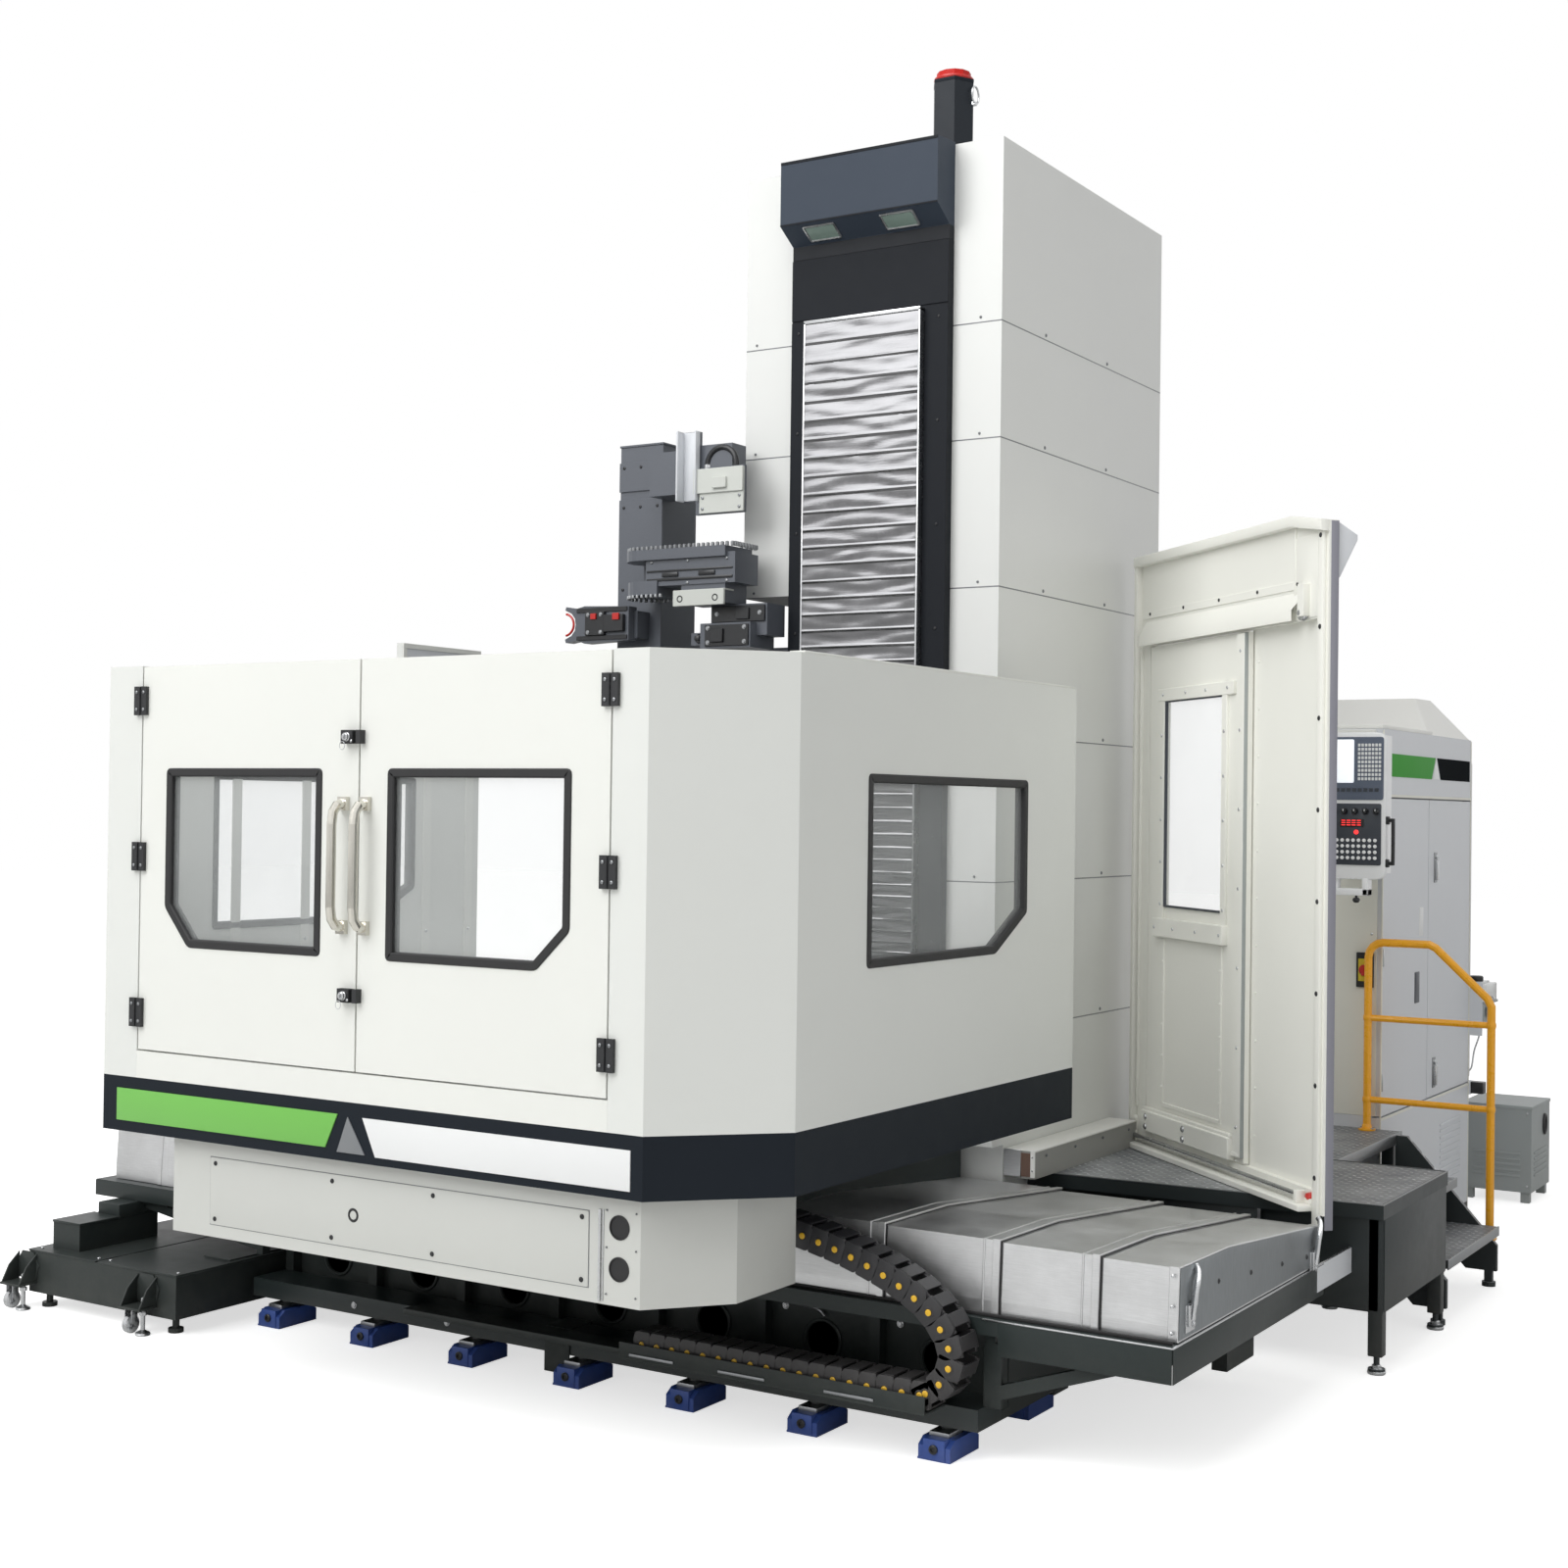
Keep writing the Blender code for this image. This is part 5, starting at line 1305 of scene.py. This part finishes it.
def makeCabinet(s):
    x0, x1 = s["x"]
    y0, y1 = s["y"]
    b0, b1 = s["bandZ"]
    add("cabinet_band", "cabinetGreen", plate([
        (y0 + 30, b0), (3830, b0), (3890, b1), (y0 + 30, b1)
    ], x1 - 1, x1 + 3, "x", 1))
    add("cabinet_band_mark", "bandWhite", plate([(3900, b1), (3850, b0), (3960, b0)], x1 - 1, x1 + 3, "x", 1))
    add("cabinet_band_plate", "plateBlack", plate(
        [(3980, b0), (4470, b0), (4470, b1), (3920, b1)], x1 - 1, x1 + 3, "x", 1
    ))
    # flush swing handles on the far door, with their locks
    parts, cups = [], []
    for y, z in ((3905, 1585), (3905, 700)):
        cups.append(slabs([(x1 - 1, x1 + 4, y - 20, y + 20, z - 65, z + 65)], 1.5, axis=0))
        parts.append(slabs([(x1 + 2, x1 + 17, y - 11, y + 11, z - 55, z + 30)], 4, axis=0))
        parts.append(turnedParts([(x1 + 3, y, z + 46)], [(10, 0), (10, 7), (7, 9), (2, 9)], axis=0, sides=18, way=1))
    add("cabinet_handles", "chrome", joined(*parts), "cabinet_door_far")
    add("cabinet_handle_plates", "rawSteel", joined(*cups), "cabinet_door_far")
    add(
        "cabinet_key_rings", "chrome",
        joined(*[ringBar((x1 + 13, 3905, z + 36), 11, 11, 1, 6, 20) for z in (1585, 700)]), "cabinet_door_far"
    )
    hinges = [(x1 - 2, x1 + 6, y0 + 8, y0 + 18, z, z + 70) for z in (700, 1200, 1700)]
    add("cabinet_hinges_near", "chrome", slabs(hinges, 2), "cabinet_door_near")
    add(
        "cabinet_label", "bandWhite", plate(rounded(corners(3660, 3720, 1300, 1420), 4), x1 - 1, x1 + 1.5, "x", 0.5),
        "cabinet_door_near"
    )
    add(
        "cabinet_plate", "panelDark", plate(rounded(corners(3600, 3665, 1020, 1150), 4), x1 - 1, x1 + 3, "x", 1),
        "cabinet_door_near"
    )
    # the frame round the doors and the light corner strip
    add("cabinet_frame", "cream", slabs([
        (x1 - 1, x1 + 3, y0, y1, 1881, 1892), (x1 - 1, x1 + 3, y0, y1, 583, 594),
        (x1 - 3, x1 + 3, y0 - 3, y0 + 4, 20, 2150), (x1 - 3, x1 + 3, y1 - 4, y1 + 3, 20, 2150)
    ], 1.5, axis=0))
    add("cabinet_trunk", "grey", slabs([(1515, 1588, y1 - 1, y1 + 36, 620, 2050)], 3))
    add("cabinet_foot", "darkSteel", slabs([(x0 + 10, x1 + 1.5, y0 - 1.5, y1 + 1.5, 0, 55)], 2))
    louvres = [(x1 - 1, x1 + 5, 4020, 4360, 200 + 28 * i, 212 + 28 * i) for i in range(10)]
    add("cabinet_louvres", "grey", slabs(louvres, 2, axis=1))
    # main switch and the black grip on the operator's side
    add("switch_plate", "blackPlastic", slabs([(1490, 1560, y0 - 12, y0 + 1, 1115, 1255)], 4, axis=1))
    add("switch_yellow", "yellowPlate", slabs([(1500, 1550, y0 - 16, y0 - 11, 1140, 1230)], 3, axis=1))
    knob = joined(
        turnedParts([(1525, y0 - 15, 1185)], [(22, 0), (22, 6), (19, 10), (4, 10)], sides=24),
        slabs([(1518, 1532, y0 - 40, y0 - 22, 1163, 1207)], 4, axis=1)
    )
    add("switch_knob", "redPlastic", knob)
    add("cabinet_cornice", "hoodWhite", slabs([(980, 1560, y0 - 10, y0 + 2, 2090, 2152)], 3, axis=1))
    add("cabinet_side_panel", "cream", slabs([(x0 + 50, x1 - 20, y0 - 2, y0 + 4, 600, 2060)], 3, axis=1))
    # the hood: a low cap over the front of the roof, and behind it the box that narrows to a small flat top
    base = corners(x0 + 4, x1 - 4, 3800, y1 - 4)
    top = [(x0 + 120, 4120), (1440, 4120), (1455, 4320), (x0 + 120, 4320)]
    share = np.array([0.0, 0.03, 0.98, 1.0])[:, None, None]
    shape = laid(
        (1 - share) * rounded(base, 10)[None] + share * rounded(top, 10)[None], 2155.3 + 174.7 * share[..., 0], "z"
    )
    cap = slabs([(x0 + 4, x1 - 4, y0 + 4, 3860, 2155.3, 2172)], 3)
    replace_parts(add("cabinet_hood_sheet", "hoodWhite", joined(skinned(shape[None]), cap)), "cabinet_hood")
    add("cabinet_side_screws", "chrome", screwHeads([
        (x, y0 - 1.5, z) for x in (x0 + 70, x1 - 40) for z in (660, 1330, 2000)
    ], 6))


makeCabinet(cabinetSet)


panelSet = {"x": (1436, 1664), "z": (1575, 2125), "y": 2885, "split": 1858}


def makePanel(s):
    # a rounded pale housing: screen and keys above, knobs, red figures and round keys below
    x0, x1 = s["x"]
    z0, z1 = s["z"]
    y, split = s["y"], s["split"]
    housing = rounded(corners(x0 - 6, x1 + 6, z0 - 20, z1 + 6), 45, 6)
    add("panel_housing", "panelWhite", plate(housing, y - 4, y + 30, "y", 6))
    add("panel_bezel", "screen", plate(rounded(
        corners(x0 + 4, x1 - 4, split + 8, z1 - 12), 12, 5
    ), y - 8, y - 2, "y", 1.5))
    add("panel_screen", "display", plate(rounded(
        corners(x0 + 12, x0 + 108, split + 75, z1 - 22), 6
    ), y - 10.5, y - 6, "y", 1))
    grid = np.stack(np.meshgrid(
        x1 - 104 + 13.5 * np.arange(7), split + 85 + 16.5 * np.arange(9)
    ), axis=2).reshape(-1, 2)
    keys = np.stack([
        grid[:, 0], grid[:, 0] + 9.5, np.full(len(grid), y - 11.5), np.full(len(grid), y - 7), grid[:, 1],
        grid[:, 1] + 11.5
    ], axis=1)
    add("panel_keys", "bandWhite", slabs(keys, 2, axis=1))
    row = np.array([(x0 + 14 + 22 * i, x0 + 30 + 22 * i, y - 10.5, y - 7, split + 40, split + 54) for i in range(9)])
    add("panel_soft_keys", "panelDark", slabs(row, 2, axis=1))
    lower = rounded(corners(x0 + 4, x1 - 12, z0 + 36, split - 6), 8, 4)
    add("panel_keyboard", "panelDark", plate(lower, y - 10, y - 2, "y", 2))
    knobs = turnedParts(
        [(x0 + 30 + 42 * i, y - 9, split - 36) for i in range(5)], [(12.5, 0), (12.5, 8), (10, 14), (9, 18), (3, 19)],
        sides=20
    )
    add("panel_knobs", "blackPlastic", knobs)
    marks = slabs([
        (x0 + 28.5 + 42 * i, x0 + 31.5 + 42 * i, y - 29, y - 26.5, split - 36, split - 28) for i in range(5)
    ], 0.5)
    add("panel_knob_marks", "bandWhite", marks)
    add("panel_display", "blackPlastic", plate(
        corners(x0 + 55, x0 + 150, split - 98, split - 66), y - 12.5, y - 8, "y", 1
    ))
    # the figures are plain lit bars
    bars = slabs([
        (x0 + 62 + 20.5 * i, x0 + 77 + 20.5 * i, y - 14.2, y - 12, z, z + 3.2) for i in range(4)
        for z in (split - 92, split - 83, split - 74)
    ], 0.5, axis=1)
    lamp = turnedParts([(x0 + 120, y - 9, split - 118)], [(9, 0), (9, 4), (6, 7), (2, 7)], sides=18)
    add("panel_lights", "redGlow", joined(bars, lamp))
    grid = np.stack(np.meshgrid(x0 + 22 + 21.5 * np.arange(9), split - 150 - 23 * np.arange(6)), axis=2).reshape(-1, 2)
    buttons = np.stack([grid[:, 0], np.full(len(grid), y - 9.5), grid[:, 1]], axis=1)
    buttons = buttons[(buttons[:, 2] > z0 + 46) & (buttons[:, 0] < x1 - 18)]
    add("panel_buttons", "panelWhite", turnedParts(buttons, [(7.2, 0), (7.2, 3), (5.5, 4.8), (2, 4.8)], sides=12))
    # the black grip on the right, and the bracket and knob below
    grip = np.array([
        (x1 + 4, y + 12, z0 + 45), (x1 + 28, y + 6, z0 + 45), (x1 + 32, y + 4, z0 + 52), (x1 + 32, y + 4, z0 + 205),
        (x1 + 28, y + 6, z0 + 212), (x1 + 4, y + 12, z0 + 212)
    ])
    add("panel_grip", "blackPlastic", bentBar(eased(grip, 6), 7.5, 12))
    add("panel_grip_feet", "blackPlastic", slabs([
        (x1 - 4, x1 + 16, y - 2, y + 24, z - 16, z + 16) for z in (z0 + 45, z0 + 212)
    ], 4))
    add("panel_shelf", "panelWhite", slabs([
        (x0 + 20, x1 - 62, y - 6, y + 50, z0 - 84, z0 - 56), (x1 - 86, x1 - 62, y - 6, y + 50, z0 - 84, z0 - 16),
        (x0 + 20, x0 + 44, y + 10, y + 50, z0 - 84, z0 - 16)
    ], 4))
    add("panel_shelf_knob", "blackPlastic", turnedParts(
        [(x0 + 115, y + 15, z0 - 83)], [(5, -2), (5, 8), (13, 12), (15, 20), (10, 28), (3, 30)], axis=2, sides=16
    ))
    add("panel_back", "panelWhite", slabs([(x0 + 12, x1 - 12, 2985, 3010, z0 + 30, z1 - 30)], 6, axis=1))
    add("panel_arm_plate", "grey", slabs([(1445, 1555, 3108, 3119.5, 1765, 1915)], 3, axis=1))


makePanel(panelSet)
print("cabinet and panel made")


# lubrication unit, transformer, tank, levelling pads, spindle and table

smallSet = {"lub": (1400, 1690, 4503, 4690, 860, 1045), "trafo": (1465, 1783, 4900, 5280, 50, 450)}


def makeSmallUnits(s):
    # a pump block on a bracket, its clear reservoir with a cap, a gauge, a lever and the pipe
    x0, x1, y0, y1, z0, z1 = s["lub"]
    tank = slabs([(x0, x1 - 20, y0, y1, z0 + 105, z1), (x0 + 20, x1 - 50, y0 + 20, y1 - 20, z1 - 2, z1 + 8)], 6)
    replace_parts(add("lub_reservoir", "reservoir", tank), "lubrication_unit")
    add("lub_pump", "trafoGrey", slabs([
        (x0 + 10, x1 - 35, y0 + 4, y1 - 6, z0, z0 + 100), (x0 + 4, x1 - 15, y0 + 2, y1 + 2, z0 + 95, z0 + 107)
    ], 4))
    cap = joined(
        upright([(x1 - 85, y0 + 70, z1 + 6)], [(30, 0), (31, 4), (31, 22), (26, 27), (4, 27)], 24),
        upright([(x1 - 165, y0 + 50, z1 + 4)], [(14, 0), (14, 40), (22, 44), (22, 68), (4, 70)], 20)
    )
    add("lub_cap", "blackPlastic", cap)
    gauge = turnedParts(
        [(x1 - 18, y0 + 50, z0 + 55)], [(24, -12), (26, 0), (26, 10), (23, 13), (3, 13)], axis=0, sides=26, way=1
    )
    lever = bentBar(eased([
        (x1 - 30, y0 + 30, z0 + 125), (x1 - 2, y0 + 26, z0 + 128), (x1 + 12, y0 + 10, z0 + 118)
    ], 6), 5, 10)
    add("lub_gauge", "chrome", joined(gauge, lever))
    pipe = eased([
        (x1 - 60, y0 + 30, z0 + 10), (x1 - 60, y0 + 30, z0 - 50), (x1 - 80, y0 + 25, z0 - 120),
        (1600, y0 + 12, z0 - 200), (1575, y0 + 2, z0 - 220)
    ], 6)
    add("lub_pipe", "chrome", bentBar(pipe, 4, 10))
    add("lub_bracket", "grey", slabs([
        (x0 + 10, x1 - 40, y0 - 2, y0 + 4, z0 - 50, z1 + 10), (1525, 1600, y0 - 2, y0 + 50, 540, 600)
    ], 3, axis=1))
    add("lub_socket", "blackPlastic", slabs([(1597, 1656, y0 + 2, y0 + 58, 545, 598)], 4))
    x0, x1, y0, y1, z0, z1 = s["trafo"]
    fins = [(x0 + 50, x1 - 50, y0 - 4, y0 + 1, 120 + 26 * i, 132 + 26 * i) for i in range(5)]
    side = [(x1 - 1, x1 + 4, y0 + 60, y1 - 60, 120 + 26 * i, 132 + 26 * i) for i in range(5)]
    add("transformer_louvres", "trafoGrey", slabs(fins + side, 1.8, axis=2))
    add("transformer_handle", "blackPlastic", ringBar((x1 + 6, 5160, 345), 26, 46, 5.5, 8, 28))
    add("transformer_lid", "trafoGrey", slabs([(x0 - 4, x1 + 4, y0 - 4, y1 + 4, z1 - 12, z1 + 4)], 3))
    add("transformer_screws", "chrome", screwHeads([
        (x, y0 - 0.5, z) for x in (x0 + 20, x1 - 20) for z in (80, 420)
    ], 6))
    print("lubrication unit and transformer made")
    # coolant tank: lids, caster forks, wheels, jack feet and the pump's cowl
    tank = [
        (-2203, -1850, -363, 303, 198, 204.5), (-1835, -1445, -363, 303, 198, 206),
        (-1600, -1470, -100, 250, 204, 210)
    ]
    add("tank_lids", "casting", slabs(tank, 2.5))
    add("tank_lid_bolts", "chrome", screwHeads([
        (x, y, 205.5) for x in (-2170, -1870, -1810, -1470) for y in (-330, 270)
    ], 6, axis=2, way=1))
    forks, wheels, jacks = [], [], []
    for cx in (-2205, -1585):
        y = -395
        forks.append(plate([
            (cx - 55, 100), (cx + 45, 100), (cx + 60, 150), (cx + 30, 195), (cx - 30, 195), (cx - 60, 150)
        ], y + 30, y + 36, "y", 1))
        forks.append(plate([(y - 40, 92), (y + 34, 92), (y + 34, 190), (y - 10, 150)], cx - 53, cx - 47, "x", 1))
        forks.append(plate([(y - 40, 92), (y + 34, 92), (y + 34, 190), (y - 10, 150)], cx + 40, cx + 46, "x", 1))
        forks.append(slabs([(cx - 56, cx + 50, y - 44, y + 34, 86, 94)], 2))
        wheels.append(turnedParts(
            [(cx - 30, y - 10, 30)], [(8, -14), (24, -13), (30, -9), (30, 9), (24, 13), (8, 14)], axis=0, sides=26,
            way=1
        ))
        wheels.append(slabs([
            (cx - 48, cx - 45, y - 22, y + 4, 22, 84), (cx - 15, cx - 12, y - 22, y + 4, 22, 84),
            (cx - 50, cx - 10, y - 26, y + 10, 80, 87)
        ], 1.2))
        jacks.append(upright([(cx + 28, y - 8, 0)], [
            (24, 0), (26, 3), (24, 9), (12, 15), (7.5, 18), (7.5, 125), (3, 127)
        ], 18))
        jacks.append(upright([(cx + 28, y - 8, 66)], [(13, 0), (13, 12), (8, 14)], 6))
    add("tank_forks", "casting", joined(*forks))
    add("tank_casters", "chrome", joined(*wheels, *jacks))
    pump = [(-2153, -2007, -303, -120, 296, 304), (-2120, -2007, -130, 53, 298, 345)]
    add("pump_cowl", "casting", slabs(pump, 4, axis=2))
    spout = eased([(-2150, -200, 270), (-2185, -215, 272), (-2215, -235, 271)], 6)
    add("pump_spout", "rawSteel", bentBar(spout, 9, 12))


makeSmallUnits(smallSet)


padSet = {"pitch": 430, "count": 7, "rows": (0, 500, 1060)}


def makePads(s):
    # each pad: a square blue cheek with a black bolt in front, a grey wedge on top, and a hump behind
    xs = (np.arange(s["count"]) - s["count"] // 2) * s["pitch"]
    cheeks, wedges, bolts, humps = [], [], [], []
    for y in s["rows"]:
        for x in xs:
            cheeks.append((x - 34.5, x + 34.5, y - 91.5, y - 30, 3, 60.5))
            cheeks.append((x - 52, x + 36, y - 89.5, y - 20, 0, 6))
            wedges.append((x - 32, x + 32, y - 60, y + 30, 56, 73.5))
            humps.append((x - 34.5, x + 34.5, y + 32, y + 89.5, 3, 54))
            bolts.append((x, y - 91.2, 33))
    add("pad_cheeks", "footRail", slabs(cheeks + humps, 3))
    add("pad_wedges", "rawSteel", slabs(wedges, 4))
    add("pad_bolts", "blackPlastic", turnedParts(bolts, [
        (13.5, -1), (13.5, 5), (11, 6.8), (6.5, 6.8), (5.5, 3), (1, 3)
    ], sides=14))
    studs = [(x, y, 72) for y in s["rows"] for x in xs]
    add("pad_studs", "rawSteel", upright(studs, [(18.5, -2), (18.5, 8), (14, 12), (12, 16), (12, 16.2)], 6))


makePads(padSet)


def makeBedTrim():
    # windows of the bed casting get raised rims, and small hangers, pipes and bolts sit in its shade
    centres = [(-1385 + (i + 0.5) * (2770 / 7), 139.5, 215) for i in range(7)]
    rims = turnedParts(centres, [(57, -1), (66, -1), (66, 4), (63, 6), (57, 6), (55, -1)], sides=36)
    add("bed_rims", "casting", rims)
    add("bed_hanger", "casting", slabs([
        (-112, -14, -56.5, -51, 28, 172), (-112, -14, -56.5, 60, 166, 172)
    ], 1.5, axis=1))
    add("bed_front_plates", "rawSteel", slabs([
        (x - 120, x + 120, 94, 100.5, 118, 132) for x in (-980, -190, 400, 990)
    ], 1.5, axis=0))
    add("bed_bolts", "chrome", hexBolts(
        [(x, 139.5, 300) for x in np.arange(-1320, 1400, 395.7)] + [(x, -50.5, 118) for x in (-930, -520, 620, 1120)],
        8.5
    ))
    pipe = eased([(520, 132, 315), (600, 125, 318), (720, 122, 316), (780, 124, 308), (800, 132, 290)], 8)
    other = eased([(980, 132, 315), (1020, 125, 318), (1180, 122, 316), (1230, 124, 308), (1250, 132, 290)], 8)
    add("bed_pipes", "rawSteel", joined(bentBar(pipe, 5, 8), bentBar(other, 5, 8)))
    # the rail beam's end beside the covers, with its screws
    add("beam_end_plate", "stainless", slabs([(842, 905, 1244, 1250.5, 556, 648)], 2, axis=1))
    add("beam_end_board", "boardBrown", slabs([(906, 941, 1247, 1250.5, 558, 638)], 1, axis=1))
    add("beam_end_flange", "hoodWhite", slabs([(942, 958.5, 1243.5, 1250.5, 556, 648)], 2, axis=1))
    add("beam_end_screws", "chrome", screwHeads([(950, 1244, z) for z in (580, 626)], 3.5))
    # painted highlight: a thin white strip over the top of the rail cover stands in for the light on its top face
    add("beam_top_painted_highlight", "hoodWhite", slabs([
        (842, 956.5, 1248, 2139, 644.5, 647.5), (954.5, 958.5, 1248, 2139, 642, 647.5)
    ], 1.2, axis=1))
    add("beam_screws", "bandGrey", screwHeads([
        (958.3, y, 622) for y in np.arange(1340, 2100, 240)
    ], 5.5, axis=0, way=1))


makeBedTrim()


def makeSpindleAndTable():
    # ring of the headstock's nose, drive keys and bolts, and the table's centre ring and edge seal
    x, z = 327, 1080
    ring = turnedParts([(x, 766, z)], [(139, -2), (139, 8), (133, 12), (110, 12), (106, 4), (80, 4)], sides=48)
    nose = turnedParts([(x, 621, z)], [(74, -4), (74, 2), (70, 5), (46, 5), (34, -2), (31, -50)], sides=48)
    add("spindle_rings", "iron", joined(ring, nose))
    add("spindle_keys", "rawSteel", slabs([
        (x - 62, x - 44, 606, 622, z - 8, z + 8), (x + 44, x + 62, 606, 622, z - 8, z + 8)
    ], 2, axis=1))
    a = np.linspace(0, 2 * np.pi, 8, endpoint=False) + 0.3
    add("nose_bolts", "rawSteel", hexBolts(np.stack([
        x + 121 * np.cos(a), np.full(8, 755), z + 121 * np.sin(a)
    ], axis=1), 8))
    cx, cy = -288, 240
    centre = upright([(cx + 70, cy, 949.5)], [(46, -1), (46, 1.2), (40, 1.8), (30, 1.8), (28, -4), (4, -4)], 36)
    add("table_centre", "rawSteel", centre)
    rim = upright([(cx, cy, 0)], [(445, 810), (447, 812), (447, 826), (445, 828)], 64)
    add("table_seal", "rubber", rim)


makeSpindleAndTable()
print("pads, bed, spindle and table made")
